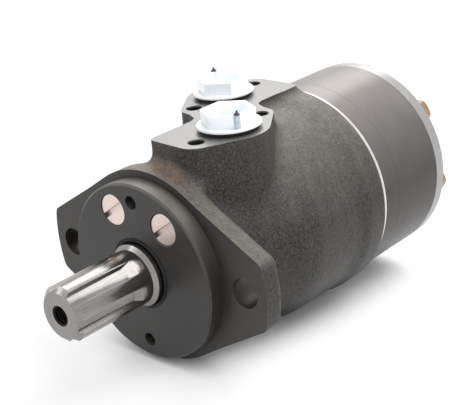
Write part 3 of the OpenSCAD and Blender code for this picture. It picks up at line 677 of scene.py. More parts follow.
@dataclass(frozen=True)
class PlatedFastener(Finish):
    """A zinc-plated or blackened fastener: cloudy in two colours, bright at the edges.

    Attributes:
        second: The colour of its clouds.
        edge_gain: How much brighter the edges are.
    """

    second: Colour = (0.5, 0.5, 0.5)
    edge_gain: float = 1.3

    def wire(self, bench: ShaderBench) -> None:
        """Lays the plating's clouds and a faint forged texture.

        Args:
            bench: The material being made.
        """
        cloud = bench.noise(190.0, 3.0, 0.6)
        fine = bench.noise(2300.0, 3.0, 0.6)
        plated = bench.blend(bench.spread(cloud, 0.35, 0.68, 0.0, 1.0), self.colour, self.second)
        edge = bench.math("MULTIPLY", bench.edge_mask(0.4), 0.6)
        bench.coat("Base Color", bench.blend(edge, plated, self.tinted(self.edge_gain)))
        bench.coat("Roughness", self.dulled(bench, fine, 0.07, 0.08))
        bench.coat("Normal", bench.bump(fine, 0.02, 0.6))


@dataclass(frozen=True)
class MouldedPlastic(Finish):
    """Injection-moulded plastic with a soft gloss and a trace of light inside it.

    Attributes:
        depth_mm: How far light wanders inside it.
        inside: How much of the light does.
        shade: The colour of its flow lines.
    """

    depth_mm: float = 1.2
    inside: float = 0.35
    shade: Colour = (0.6, 0.7, 0.8)

    def wire(self, bench: ShaderBench) -> None:
        """Lays flow lines, faint scuffs and the light that wanders inside.

        Args:
            bench: The material being made.
        """
        flow = bench.noise(120.0, 2.0, 0.5)
        scuff = bench.noise(1500.0, 4.0, 0.65)
        lines = bench.spread(flow, 0.3, 0.75, 0.0, 0.5)
        bench.coat("Base Color", bench.blend(lines, self.colour, self.shade))
        bench.coat("Roughness", self.dulled(bench, scuff, 0.06, 0.08))
        bench.coat("Subsurface Weight", self.inside)
        bench.coat("Subsurface Scale", self.depth_mm * MM)
        bench.coat("Subsurface Radius", (1.0, 1.0, 1.0))
        bench.coat("Normal", bench.bump(scuff, 0.015, 0.5, bench.bump(flow, 0.12, 0.5)))


@dataclass(frozen=True)
class PinPlastic(Finish):
    """Grey plastic of a cap's pin, dark at its tip.

    Attributes:
        tip_z: The height at which the dark tip begins.
        tip: The tip's colour.
    """

    tip_z: float = 63.7
    tip: Colour = (0.02, 0.021, 0.03)

    def wire(self, bench: ShaderBench) -> None:
        """Lays a flow pattern and darkens the tip.

        Args:
            bench: The material being made.
        """
        flow = bench.noise(900.0, 3.0, 0.6)
        height = bench.split(bench.place)[2]
        level = bench.math("ADD", height, bench.math("MULTIPLY", flow, 0.0007))
        dark = bench.spread(level, (self.tip_z + 0.1) * MM, (self.tip_z + 0.7) * MM, 0.0, 1.0)
        lines = bench.spread(flow, 0.35, 0.7, 0.0, 1.0)
        shaft = bench.blend(lines, self.tinted(0.86), self.tinted(1.12))
        bench.coat("Base Color", bench.blend(dark, shaft, self.tip))
        bench.coat("Roughness", self.dulled(bench, flow, 0.05, 0.08))
        bench.coat("Normal", bench.bump(flow, 0.04, 0.6))


@dataclass(frozen=True)
class SealRubber(Finish):
    """Nitrile rubber: dark, matt, with a trace of mould lines and dust."""

    def wire(self, bench: ShaderBench) -> None:
        """Lays dust and a fine moulded texture.

        Args:
            bench: The material being made.
        """
        dust = bench.noise(420.0, 4.0, 0.6)
        fine = bench.noise(3000.0, 2.0, 0.5, bench.turned_place(Marks.TURNED))
        dusty = bench.spread(dust, 0.45, 0.8, 0.0, 1.0)
        bench.coat("Base Color", bench.blend(dusty, self.colour, self.tinted(1.8)))
        bench.coat("Specular IOR Level", 0.3)
        bench.coat("Roughness", self.dulled(bench, dust, 0.08, 0.1))
        bench.coat("Normal", bench.bump(fine, 0.02, 0.6))


@dataclass(frozen=True)
class FinishSet:
    """All the finishes of the motor."""

    cast: Finish = CastSkin("cast_iron_skin", (0.0272, 0.0247, 0.0216), 0.0, 0.38)
    port_face: Finish = MachinedMetal(
        "milled_port_face", (0.265, 0.26, 0.252), 0.85, 0.42,
        marks=Marks.MILLED, pitch_per_m=900.0, mark_mm=0.02, variation=0.22, edge_gain=1.2,
    )
    # A dark machined face, painted darker than the port face as shade on a face that looks
    # forwards.
    flange_face: Finish = MachinedMetal(
        "turned_flange_face", (0.025, 0.0228, 0.0203), 0.0, 0.5,
        pitch_per_m=1700.0, mark_mm=0.03, variation=0.5, edge_gain=2.2,
    )
    rim: Finish = MachinedMetal(
        "turned_rear_rim", (0.72, 0.685, 0.64), 0.9, 0.36, pitch_per_m=3000.0
    )
    # The walls of the holes are painted dark as shade.
    bore: Finish = MachinedMetal(
        "drilled_bore_painted_shade", (0.045, 0.042, 0.039), 0.6, 0.4, pitch_per_m=1800.0, variation=0.25
    )
    # Dark turned iron, painted darker as shade on a face that looks forwards; its upper side is
    # painted lighter as light from above.
    cover: Finish = MachinedMetal(
        "turned_cover", (0.0185, 0.0167, 0.0148), 0.0, 0.4,
        pitch_per_m=2300.0, mark_mm=0.022, variation=0.55, edge_gain=6.0, painted_top_light=5.5,
    )
    shaft: Finish = GroundShaft("ground_shaft", (0.30, 0.287, 0.278), 1.0, 0.19)
    rubber: Finish = SealRubber("nitrile_rubber", (0.009, 0.009, 0.009), 0.0, 0.55)
    black: Finish = PlatedFastener(
        "black_oxide", (0.02, 0.02, 0.021), 0.3, 0.42, second=(0.03, 0.029, 0.028), edge_gain=2.0
    )
    pale_zinc: Finish = PlatedFastener(
        "pale_zinc", (0.74, 0.62, 0.56), 0.85, 0.34, second=(0.69, 0.60, 0.56), edge_gain=1.12
    )
    bright: Finish = MachinedMetal(
        "lapped_steel", (0.60, 0.60, 0.60), 1.0, 0.14,
        marks=Marks.NONE, mark_mm=0.004, variation=0.06,
    )
    brass: Finish = MachinedMetal(
        "brass_cage", (0.62, 0.43, 0.16), 1.0, 0.3, marks=Marks.NONE, pitch_per_m=1400.0
    )
    forged: Finish = MachinedMetal(
        "forged_steel", (0.28, 0.27, 0.26), 0.9, 0.42,
        marks=Marks.LENGTHWISE, pitch_per_m=1500.0, mark_mm=0.03,
    )
    # Its upper side is painted lighter as light from above.
    ring: Finish = MachinedMetal(
        "ground_ring", (0.056, 0.0515, 0.0485), 0.5, 0.36, 1.5,
        pitch_per_m=2800.0, mark_mm=0.01, variation=0.2, edge_gain=1.3, painted_top_light=3.5,
    )
    end_cover: Finish = MachinedMetal(
        "turned_end_cover", (0.36, 0.353, 0.343), 0.75, 0.34, 1.9,
        pitch_per_m=2100.0, mark_mm=0.015, variation=0.2, edge_gain=1.8,
    )
    yellow_zinc: Finish = PlatedFastener(
        "yellow_zinc", (0.40, 0.27, 0.13), 0.9, 0.36, second=(0.34, 0.27, 0.17), edge_gain=1.3
    )
    white: Finish = MouldedPlastic(
        "white_plastic", (0.90, 0.93, 0.945), 0.0, 0.34, depth_mm=1.6, shade=(0.82, 0.89, 0.94)
    )
    pin: Finish = PinPlastic("grey_pin_plastic", (0.49, 0.56, 0.63), 0.0, 0.4)
    copper: Finish = MachinedMetal(
        "copper_washer", (0.72, 0.38, 0.24), 1.0, 0.35, marks=Marks.NONE, pitch_per_m=900.0
    )


# Mesh making


def surface_net(
    values: np.ndarray, origin: np.ndarray, step: float
) -> tuple[np.ndarray, np.ndarray]:
    """Wraps a closed skin of four-sided faces around the part of a grid that is below zero.

    Args:
        values: The signed distance at each grid point.
        origin: The place of the first grid point.
        step: The distance between grid points.

    Returns:
        The skin's points and its faces, four point numbers each, facing outwards.
    """
    inside = values < 0.0
    size = np.array(values.shape) - 1
    offsets = [(i, j, k) for i in (0, 1) for j in (0, 1) for k in (0, 1)]
    count = np.zeros(size, np.int8)
    for i, j, k in offsets:
        count += inside[i : size[0] + i, j : size[1] + j, k : size[2] + k]
    mixed = (count > 0) & (count < 8)
    cells = np.argwhere(mixed)
    number = np.full(mixed.shape, -1, np.int64)
    number[mixed] = np.arange(len(cells))
    total = np.zeros((len(cells), 3))
    crossings = np.zeros(len(cells))
    for first in offsets:
        for axis in range(3):
            if first[axis]:
                continue
            a = cells + first
            b = a.copy()
            b[:, axis] += 1
            va = values[tuple(a.T)].astype(float)
            vb = values[tuple(b.T)].astype(float)
            cut = (va < 0) != (vb < 0)
            share = va[cut] / (va[cut] - vb[cut])
            point = np.tile(np.array(first, float), (int(cut.sum()), 1))
            point[:, axis] += share
            total[cut] += point
            crossings[cut] += 1
    points = origin + (cells + total / crossings[:, None]) * step
    faces = []
    for axis in range(3):
        u, v = (axis + 1) % 3, (axis + 2) % 3
        low = [slice(None)] * 3
        high = [slice(None)] * 3
        low[axis], high[axis] = slice(None, -1), slice(1, None)
        here, there = inside[tuple(low)], inside[tuple(high)]
        for leaving in (True, False):
            spots = np.argwhere(here & ~there if leaving else there & ~here)
            spots = spots[(spots[:, u] > 0) & (spots[:, v] > 0)]
            corners = []
            for du, dv in ((-1, -1), (0, -1), (0, 0), (-1, 0)):
                c = spots.copy()
                c[:, u] += du
                c[:, v] += dv
                corners.append(number[tuple(c.T)])
            quad = np.stack(corners, axis=1)
            faces.append(quad if leaving else quad[:, ::-1])
    return points, np.concatenate(faces)


def read_grid(
    values: np.ndarray, origin: np.ndarray, step: float, points: np.ndarray
) -> np.ndarray:
    """Reads a grid between its points.

    Args:
        values: The grid.
        origin: The place of its first point.
        step: The distance between its points.
        points: Where to read.

    Returns:
        One value for each place.
    """
    spot = np.clip((points - origin) / step, 0, np.array(values.shape) - 1.001)
    cell = spot.astype(int)
    part = spot - cell
    out = np.zeros(len(points))
    for corner in ((i, j, k) for i in (0, 1) for j in (0, 1) for k in (0, 1)):
        weight = np.abs(1 - np.array(corner) - part).prod(axis=1)
        out += weight * values[tuple((cell + corner).T)]
    return out


def outline_distance(px: np.ndarray, py: np.ndarray, outline: Outline) -> np.ndarray:
    """Measures how far points lie outside a closed outline, negative inside.

    Args:
        px: The first coordinate of each point.
        py: The second coordinate of each point.
        outline: The outline's corners in order.

    Returns:
        The signed distance of each point.
    """
    corners = np.array(outline)
    best = np.full(px.shape, 1e9)
    odd = np.zeros(px.shape, bool)
    for (ax, ay), (bx, by) in zip(corners, np.roll(corners, -1, axis=0)):
        ex, ey = bx - ax, by - ay
        wx, wy = px - ax, py - ay
        share = np.clip((wx * ex + wy * ey) / (ex * ex + ey * ey + 1e-12), 0, 1)
        best = np.minimum(best, (wx - ex * share) ** 2 + (wy - ey * share) ** 2)
        if ay != by:
            crosses = ((ay > py) != (by > py)) & (px < ex * (py - ay) / ey + ax)
            odd ^= crosses
    return np.where(odd, -1.0, 1.0) * np.sqrt(best)


def soft_union(first: np.ndarray, second: np.ndarray, fillet: float) -> np.ndarray:
    """Joins two shapes with a fillet where they meet.

    Args:
        first: The first shape's distances.
        second: The second shape's distances.
        fillet: About the radius of the fillet.

    Returns:
        The joined shape's distances.
    """
    share = np.maximum(fillet - np.abs(first - second), 0.0) / fillet
    return np.minimum(first, second) - share * share * fillet * 0.25


def soft_cut(shape: np.ndarray, limit: np.ndarray, radius: float) -> np.ndarray:
    """Keeps what lies in both shapes and rounds the edge between them.

    Args:
        shape: The first shape's distances.
        limit: The second shape's distances.
        radius: About the radius of the rounded edge.

    Returns:
        The rounded shape's distances.
    """
    return -soft_union(-shape, -limit, radius)


def mesh_object(name: str, points: np.ndarray, faces: Sequence[Sequence[int]]) -> bpy.types.Object:
    """Makes an object in the scene from points in millimetres.

    Args:
        name: The piece's name.
        points: The points, in millimetres.
        faces: The faces as point numbers.

    Returns:
        The new object.
    """
    mesh = bpy.data.meshes.new(name)
    mesh.from_pydata((np.asarray(points) * MM).tolist(), [], [list(map(int, f)) for f in faces])
    mesh.validate()
    made = bpy.data.objects.new(name, mesh)
    bpy.context.scene.collection.objects.link(made)
    return made


def lathe(
    name: str, profile: Outline, axis: str = "Y", centre: Place = (0, 0, 0), sides: int = 96
) -> bpy.types.Object:
    """Turns a closed profile about an axis.

    Args:
        name: The object's name.
        profile: Pairs of radius and place along the axis, in order around the section.
        axis: The axis to turn about, Y or Z.
        centre: Where the axis stands.
        sides: How many steps the turn has.

    Returns:
        The turned object.
    """
    points, rings = [], []
    for radius, along in profile:
        ring = []
        for k in range(sides if radius > 1e-6 else 1):
            a = math.tau * k / sides
            flat = (radius * math.cos(a), radius * math.sin(a))
            spot = (flat[0], along, flat[1]) if axis == "Y" else (flat[0], flat[1], along)
            ring.append(len(points))
            points.append([c + s for c, s in zip(centre, spot)])
        rings.append(ring)
    faces = []
    for first, second in zip(rings, rings[1:] + rings[:1]):
        if len(first) == 1 and len(second) == 1:
            continue
        for k in range(sides):
            n = (k + 1) % sides
            if len(first) == 1:
                faces.append([first[0], second[n], second[k]])
            elif len(second) == 1:
                faces.append([first[k], first[n], second[0]])
            else:
                faces.append([first[k], first[n], second[n], second[k]])
    made = mesh_object(name, np.array(points, float), faces)
    face_outwards(made)
    return made


def drilled(
    name: str,
    radius: float,
    depth: float,
    tip: float,
    chamfer: float,
    place: Place,
    sides: int = 96,
) -> bpy.types.Object:
    """Makes the cutter of a hole that is drilled down into the port face.

    Args:
        name: The object's name.
        radius: The hole's radius.
        depth: How deep it is at its full width.
        tip: How much deeper the drill's tip goes.
        chamfer: How wide its edge is broken.
        place: The middle of its mouth.
        sides: How many steps the turn has.

    Returns:
        The cutter, which stands a little out of the hole.
    """
    mouth = radius + chamfer
    profile: Outline = [(0, -depth - tip), (radius, -depth), (radius, -chamfer)]
    profile += [(mouth, 0), (mouth, 2), (0, 2)]
    return lathe(name, profile, "Z", place, sides)


def arc(
    centre: tuple[float, float], radius: float, start: float, end: float, steps: int, first: int = 0
) -> Outline:
    """Draws a part of a circle.

    Args:
        centre: Its middle.
        radius: Its radius.
        start: The angle at which it starts, in radians.
        end: The angle at which it ends.
        steps: How many steps it has.
        first: The first step that is drawn.

    Returns:
        The points of the arc.
    """
    angles = [start + (end - start) * k / steps for k in range(first, steps + 1)]
    return [(centre[0] + radius * math.cos(a), centre[1] + radius * math.sin(a)) for a in angles]


def face_outwards(piece: bpy.types.Object) -> None:
    """Makes every face of a closed mesh look outwards.

    Args:
        piece: The object to mend.
    """
    work = bmesh.new()
    work.from_mesh(piece.data)
    bmesh.ops.recalc_face_normals(work, faces=work.faces)
    work.to_mesh(piece.data)
    work.free()


def apply_modifiers(piece: bpy.types.Object) -> None:
    """Bakes an object's modifiers into its mesh.

    Args:
        piece: The object.
    """
    bpy.context.view_layer.update()
    shown = piece.evaluated_get(bpy.context.evaluated_depsgraph_get())
    mesh = bpy.data.meshes.new_from_object(shown)
    piece.modifiers.clear()
    piece.data = mesh


def cut_away(piece: bpy.types.Object, cutters: Sequence[bpy.types.Object]) -> None:
    """Cuts closed shapes out of a closed piece.

    Args:
        piece: The piece that is cut.
        cutters: The shapes, which are removed afterwards.
    """
    for cutter in cutters:
        cut = piece.modifiers.new(cutter.name, "BOOLEAN")
        cut.operation = "DIFFERENCE"
        cut.solver = "MANIFOLD"
        cut.object = cutter
    apply_modifiers(piece)
    for cutter in cutters:
        bpy.data.objects.remove(cutter)


def shade_by_angle(piece: bpy.types.Object, degrees: float) -> None:
    """Shades a mesh smooth and keeps the edges sharper than an angle.

    Args:
        piece: The object.
        degrees: The smallest angle of a sharp edge.
    """
    work = bmesh.new()
    work.from_mesh(piece.data)
    limit = math.radians(degrees)
    for face in work.faces:
        face.smooth = True
    for edge in work.edges:
        if len(edge.link_faces) == 2:
            edge.smooth = edge.calc_face_angle(0.0) < limit
    work.to_mesh(piece.data)
    work.free()


# The casting


@dataclass
class HousingCasting:
    """The cast housing, poured as one filleted body and then machined.

    Attributes:
        flange_t: Thickness of the flange.
        flange_mid_r: Radius of the flange around the shaft.
        flange_end_r: Radius of the arc that ends the ears.
        flange_slope: Slope of the straight edges, in degrees.
        flange_back_r: Rounding of the flange's rear edge.
        flange_fillet: Fillet between flange and neck.
        corner_r: Radius of the ears' corners.
        bolt_pitch: Distance between the two bolt holes.
        bolt_hole_d: Diameter of the bolt holes.
        bolt_cone: How much wider their cutter is 1 mm before the face, to break the edge.
        length: From the flange's face to the rear face.
        neck_d: Diameter of the neck behind the flange.
        neck_root: How much wider the neck is inside the flange.
        body_d: Diameter of the body.
        neck_end: Where the neck ends.
        shoulder_end: Where the shoulder reaches the body's diameter.
        shoulder_steps: How many steps the shoulder's curve has.
        band_rise: Height of the raised band at the rear.
        band_len: Length of that band.
        rim_len: Length of the turned rim behind it.
        port_face_z: Height of the port face.
        port_mid_y: Middle of the port block along the axis.
        port_dx: How far each port stands aside of the middle.
        port_dy: How far it stands in front of or behind the middle.
        port_bore_d: Diameter of the ports.
        port_depth: Depth of the ports.
        port_chamfer: Width of their broken edge.
        screw_dx: How far the screw holes stand aside of the middle.
        screw_outer_dy: How far the outer ones stand from the middle.
        screw_pitch: Distance between the two holes of a side.
        screw_d: Diameter of the screw holes.
        screw_depth: Depth of the screw holes.
        screw_tip: How much deeper the drill's tip goes.
        screw_chamfer: Width of their broken edge.
        lobe_port_r: Radius of the block's lobe around a port.
        lobe_outer_r: Radius of the lobe around an outer screw hole.
        lobe_inner_r: Radius of the lobe around an inner screw hole.
        lobe_side_x: How far a lobe reaches past the middle.
        lobe_side_r: Rounding of that side beside the port.
        lobe_corner_r: Rounding of the lobe's corner.
        lobe_corner_in: How far that corner lies behind the lobe's front.
        lobe_bridge: How far the bridge between the lobes reaches out.
        notch_fillet: Rounding of the notches between the lobes.
        block_foot_z: Height at which the block starts, inside the body.
        block_draft: Draft of the block's walls, as a slope.
        block_fillet: Fillet between block and body.
        drain_y: Place of the drain port along the axis.
        drain_angle: Its direction about the axis, in degrees.
        drain_reach: Distance of its face from the axis.
        drain_boss_d: Diameter of its boss.
        drain_fillet: Fillet around the boss.
        drain_d: Diameter of the drain port.
        drain_depth: Its depth.
        drain_spot_r: Radius of the spotface.
        bore_steps: Radius and end of each step of the bore, from the front face.
        bore_r: Radius of the bore behind those steps.
        hole_slack: How far around a hole its edge still counts as drilled.
        grid: Distance between the points of the casting's grid.
        crease: The smallest angle of a sharp edge, in degrees.
    """

    flange_t: float = 10.0
    flange_mid_r: float = 44.5
    flange_end_r: float = 65.0
    flange_slope: float = 30.0
    flange_back_r: float = 2.6
    flange_fillet: float = 7.0
    corner_r: float = 4.5
    bolt_pitch: float = 106.4
    bolt_hole_d: float = 13.5
    bolt_cone: float = 1.1
    length: float = 107.0
    neck_d: float = 75.0
    neck_root: float = 3.0
    body_d: float = 100.8
    neck_end: float = 16.0
    shoulder_end: float = 60.0
    shoulder_steps: int = 12
    band_rise: float = 1.6
    band_len: float = 12.0
    rim_len: float = 1.8
    port_face_z: float = 54.6
    port_mid_y: float = 56.6
    port_dx: float = 18.0
    port_dy: float = 18.2
    port_bore_d: float = 19.0
    port_depth: float = 16.0
    port_chamfer: float = 1.2
    screw_dx: float = 17.5
    screw_outer_dy: float = 38.8
    screw_pitch: float = 42.0
    screw_d: float = 6.8
    screw_depth: float = 13.0
    screw_tip: float = 1.8
    screw_chamfer: float = 0.5
    lobe_port_r: float = 18.0
    lobe_outer_r: float = 8.6
    lobe_inner_r: float = 6.0
    lobe_side_x: float = 4.9
    lobe_side_r: float = 4.0
    lobe_corner_r: float = 3.2
    lobe_corner_in: float = 1.6
    lobe_bridge: float = 6.0
    notch_fillet: float = 5.0
    block_foot_z: float = 6.0
    block_draft: float = 0.012
    block_fillet: float = 5.5
    drain_y: float = 27.0
    drain_angle: float = 225.0
    drain_reach: float = 46.0
    drain_boss_d: float = 22.0
    drain_fillet: float = 6.0
    drain_d: float = 11.8
    drain_depth: float = 12.0
    drain_spot_r: float = 14.0
    bore_steps: tuple[tuple[float, float], ...] = ((22.05, 3.2), (19.55, 8.0), (15.1, 10.5))
    bore_r: float = 20.05
    hole_slack: float = 0.1
    grid: float = 0.8
    crease: float = 32.0

    def flange_outline(self) -> Outline:
        """Draws the oval flange with its rounded ears.

        Returns:
            The outline, seen from the front.
        """
        slope = math.radians(self.flange_slope)
        tangent = math.pi / 2 - slope
        # The corner's arc touches the straight edge and the ear's end arc from inside.
        mid_in = self.flange_mid_r - self.corner_r
        end_in = self.flange_end_r - self.corner_r
        corner_a = math.asin(mid_in / end_in) - slope
        centre = (end_in * math.cos(corner_a), end_in * math.sin(corner_a))
        quarter = arc((0, 0), self.flange_end_r, 0.0, corner_a, 8)
        quarter += arc(centre, self.corner_r, corner_a, tangent, 9, first=1)
        quarter += arc((0, 0), self.flange_mid_r, tangent, math.pi / 2, 14)
        upper = quarter + [(-x, y) for x, y in reversed(quarter[:-1])]
        return upper + [(x, -y) for x, y in reversed(upper[1:-1])]

    def lobe_hull(self) -> Outline:
        """Draws one half of the port block, seen from above, about the block's middle.

        Returns:
            The outline of the front half.
        """
        front = -self.screw_outer_dy - self.lobe_outer_r + self.lobe_corner_r
        corner_x = -self.lobe_side_x + self.lobe_corner_r
        rounds = [
            (self.port_dx, -self.port_dy, self.lobe_port_r),
            (self.screw_dx, -self.screw_outer_dy, self.lobe_outer_r),
            (self.screw_dx, -self.screw_outer_dy + self.screw_pitch, self.lobe_inner_r),
            (corner_x, front + self.lobe_corner_in, self.lobe_corner_r),
            (-self.lobe_side_x + self.lobe_side_r, -self.port_dy, self.lobe_side_r),
        ]
        cloud = [
            (x + r * math.cos(math.tau * k / 48), y + r * math.sin(math.tau * k / 48))
            for x, y, r in rounds
            for k in range(48)
        ]
        return convex_hull(cloud)

    def block_outline_distance(self, x: np.ndarray, y: np.ndarray) -> np.ndarray:
        """Measures the distance from the port block's outline, seen from above.

        Args:
            x: Sideways places.
            y: Lengthways places.

        Returns:
            The signed distances, with the notches between the lobes rounded.
        """
        y = y - self.port_mid_y
        lobe = self.lobe_hull()
        end_y = -self.screw_outer_dy + self.screw_pitch + self.lobe_inner_r
        web = [
            (self.screw_dx, end_y - self.lobe_inner_r),
            (self.screw_dx, end_y),
            (self.lobe_side_x, end_y + self.lobe_bridge),
            (0.0, end_y + self.lobe_bridge),
        ]
        web = web + [(-a, -b) for a, b in web]
        other = outline_distance(x, y, [(-a, -b) for a, b in lobe])
        shape = soft_union(outline_distance(x, y, lobe), other, self.notch_fillet)
        return soft_union(shape, outline_distance(x, y, web), self.notch_fillet)

    def body_profile(self, y: np.ndarray) -> np.ndarray:
        """Gives the body's cast radius along its length.

        Args:
            y: Places along the shaft's axis.

        Returns:
            The radius at each place.
        """
        neck, half = self.neck_d / 2, self.body_d / 2
        band_1 = self.length - self.rim_len - 1.0
        band_0 = band_1 - self.band_len
        root = neck + self.neck_root
        knots = [(0.0, root), (self.flange_t, root), (self.flange_t + 3, neck + 0.3)]
        knots.append((self.neck_end, neck))
        for i in range(1, self.shoulder_steps + 1):
            rise = (1 - math.cos(math.pi * i / self.shoulder_steps)) / 2
            along = (self.shoulder_end - self.neck_end) * i / self.shoulder_steps
            radius = neck + (self.body_d - self.neck_d) / 2 * rise
            knots.append((self.neck_end + along, radius))
        # The band swells softly, runs level and falls off short of the turned rim.
        knots += [(band_0 - 9, half), (band_0 - 5, half + self.band_rise * 0.3)]
        knots += [(band_0, half + self.band_rise), (band_1 - 1.5, half + self.band_rise)]
        knots += [(band_1, half + self.band_rise * 0.6), (band_1 + 0.6, half - 0.3)]
        knots.append((self.length + 10, half - 0.3))
        fine = np.linspace(-12, self.length + 12, 900)
        radius = np.interp(fine, [k[0] for k in knots], [k[1] for k in knots])
        kernel = np.hanning(13)
        radius = np.convolve(np.pad(radius, 6, mode="edge"), kernel / kernel.sum(), mode="valid")
        return np.interp(y, fine, radius)

    def field(self, x: np.ndarray, y: np.ndarray, z: np.ndarray) -> np.ndarray:
        """Gives the raw casting's signed distance on a grid.

        Args:
            x: The grid's sideways places.
            y: The grid's lengthways places.
            z: The grid's heights.

        Returns:
            The distances, one for each grid point.
        """
        gx, gz = np.meshgrid(x, z, indexing="ij")
        round_xz = np.hypot(gx, gz)[:, None, :]
        # The factor keeps the distance true on the shoulder's slope. Every face that is
        # machined later has a few millimetres of stock.
        body = (round_xz - self.body_profile(y)[None, :, None]) * 0.985
        body = np.maximum(body, (y - self.length - 3.0)[None, :, None])
        body = np.maximum(body, (0.5 - y)[None, :, None])

        flange_2d = outline_distance(gx, gz, self.flange_outline())[:, None, :]
        flange = soft_cut(flange_2d, (y - self.flange_t)[None, :, None], self.flange_back_r)
        flange = np.maximum(flange, (-2.5 - y)[None, :, None])

        hx, hy = np.meshgrid(x, y, indexing="ij")
        block_2d = self.block_outline_distance(hx, hy)[:, :, None]
        draft = (self.port_face_z - z)[None, None, :] * self.block_draft
        block = np.maximum(block_2d - draft, (z - self.port_face_z - 2.5)[None, None, :])
        block = np.maximum(block, (self.block_foot_z - z)[None, None, :])

        turn = math.radians(self.drain_angle)
        along = x[:, None, None] * math.cos(turn) + z[None, None, :] * math.sin(turn)
        across = -x[:, None, None] * math.sin(turn) + z[None, None, :] * math.cos(turn)
        boss_r = np.hypot(across, (y - self.drain_y)[None, :, None])
        ends = np.maximum(along - self.drain_reach - 1.5, -along)
        boss = np.maximum(boss_r - self.drain_boss_d / 2, ends)

        shape = soft_union(body, flange, self.flange_fillet)
        shape = soft_union(shape, block, self.block_fillet)
        return soft_union(shape, boss, self.drain_fillet)

    def pour(self) -> bpy.types.Object:
        """Makes the raw casting's skin.

        Returns:
            The closed skin as an object.
        """
        # The grid reaches past the shape and past the stock on the machined faces.
        low = np.array([-self.flange_end_r - 2.4, -4.0, -self.body_d / 2 - 4.0])
        high = np.array([self.flange_end_r + 2.4, self.length + 4.8, self.port_face_z + 4.4])
        axes = [np.arange(low[i], high[i] + self.grid, self.grid) for i in range(3)]
        values = self.field(*axes).astype(np.float32)
        points, faces = surface_net(values, low, self.grid)
        for _ in range(2):
            points = self.settle(values, low, points)
        log.info("casting skin: %d points, %d faces", len(points), len(faces))
        return mesh_object("housing_casting", points, faces)

    def settle(self, values: np.ndarray, low: np.ndarray, points: np.ndarray) -> np.ndarray:
        """Moves the skin's points onto the surface.

        Args:
            values: The grid of distances.
            low: The place of its first point.
            points: The skin's points.

        Returns:
            The settled points.
        """
        here = read_grid(values, low, self.grid, points)
        slope = np.zeros_like(points)
        for axis in range(3):
            aside = np.zeros(3)
            aside[axis] = self.grid * 0.5
            ahead = read_grid(values, low, self.grid, points + aside)
            behind = read_grid(values, low, self.grid, points - aside)
            slope[:, axis] = (ahead - behind) / self.grid
        steep = np.maximum((slope**2).sum(1), 0.2)
        move = slope * (here / steep)[:, None]
        return points - np.clip(move, -self.grid * 0.5, self.grid * 0.5)

    def cutters(self) -> list[bpy.types.Object]:
        """Makes the shapes of everything that is machined away.

        Returns:
            The closed cutters, in the order of the cuts.
        """
        far, top, rear = 90.0, self.port_face_z, self.length
        bore: Outline = [(0, -1)]
        start = -1.0
        for radius, end in (*self.bore_steps, (self.bore_r, rear + 1)):
            bore += [(radius, start), (radius, end)]
            start = end
        rim_y, outer = rear - self.rim_len, self.body_d / 2
        rim: Outline = [(outer, rim_y), (outer, rear + 1), (far, rear + 1), (far, rim_y)]
        cuts = [
            slab("cut_front_face", (-far, -20.0, -far), (far, 0.0, far)),
            slab("cut_rear_face", (-far, rear, -far), (far, rear + 20, far)),
            slab("cut_port_face", (-far, -5.0, top), (far, rear + 5, top + 20)),
            lathe("cut_main_bore", [*bore, (0, rear + 1)]),
            lathe("cut_rim", rim, sides=160),
        ]
        bolt_r, bolt_end = self.bolt_hole_d / 2, self.flange_t + 6
        bolt: Outline = [(0, -1), (bolt_r + self.bolt_cone, -1), (bolt_r + 0.05, 0.05)]
        bolt += [(bolt_r, 0.3), (bolt_r, bolt_end), (0, bolt_end)]
        for side in (1, -1):
            centre = (side * self.bolt_pitch / 2, 0, 0)
            cuts.append(lathe(f"cut_bolt_hole_{side}", bolt, centre=centre, sides=64))
            port_r, port = self.port_bore_d / 2, (*self.port_place(side), top)
            cuts.append(
                drilled(f"cut_port_{side}", port_r, self.port_depth, 0, self.port_chamfer, port)
            )
            for number, place in enumerate(self.screw_places(side)):
                cuts.append(
                    drilled(
                        f"cut_port_screw_{side}_{number}", self.screw_d / 2, self.screw_depth,
                        self.screw_tip, self.screw_chamfer, (*place, top), 48,
                    )
                )
        return cuts + [self.drain_cutter()]

    def port_place(self, side: int) -> tuple[float, float]:
        """Gives the place of the port on one side of the block, seen from above."""
        return side * self.port_dx, self.port_mid_y - side * self.port_dy

    def screw_places(self, side: int) -> list[tuple[float, float]]:
        """Gives the places of the two screw holes beside one port.

        Args:
            side: 1 for the front port's side, -1 for the rear one's.

        Returns:
            The outer and the inner place, seen from above.
        """
        steps = (self.screw_outer_dy, self.screw_outer_dy - self.screw_pitch)
        return [(side * self.screw_dx, self.port_mid_y - side * dy) for dy in steps]

    def drain_cutter(self) -> bpy.types.Object:
        """Makes the cutter of the drain port and its spotface.

        Returns:
            The cutter, turned to the port's direction.
        """
        radius, floor = self.drain_d / 2, self.drain_reach - self.drain_depth
        profile: Outline = [(0, floor), (radius, floor), (radius, self.drain_reach)]
        profile += [(self.drain_spot_r, self.drain_reach)]
        profile += [(self.drain_spot_r, self.drain_reach + 9), (0, self.drain_reach + 9)]
        cutter = lathe("cut_drain_spotface", profile, "Z")
        turn = Matrix.Rotation(math.radians(90 - self.drain_angle), 4, "Y")
        cutter.data.transform(Matrix.Translation((0, self.drain_y * MM, 0)) @ turn)
        return cutter

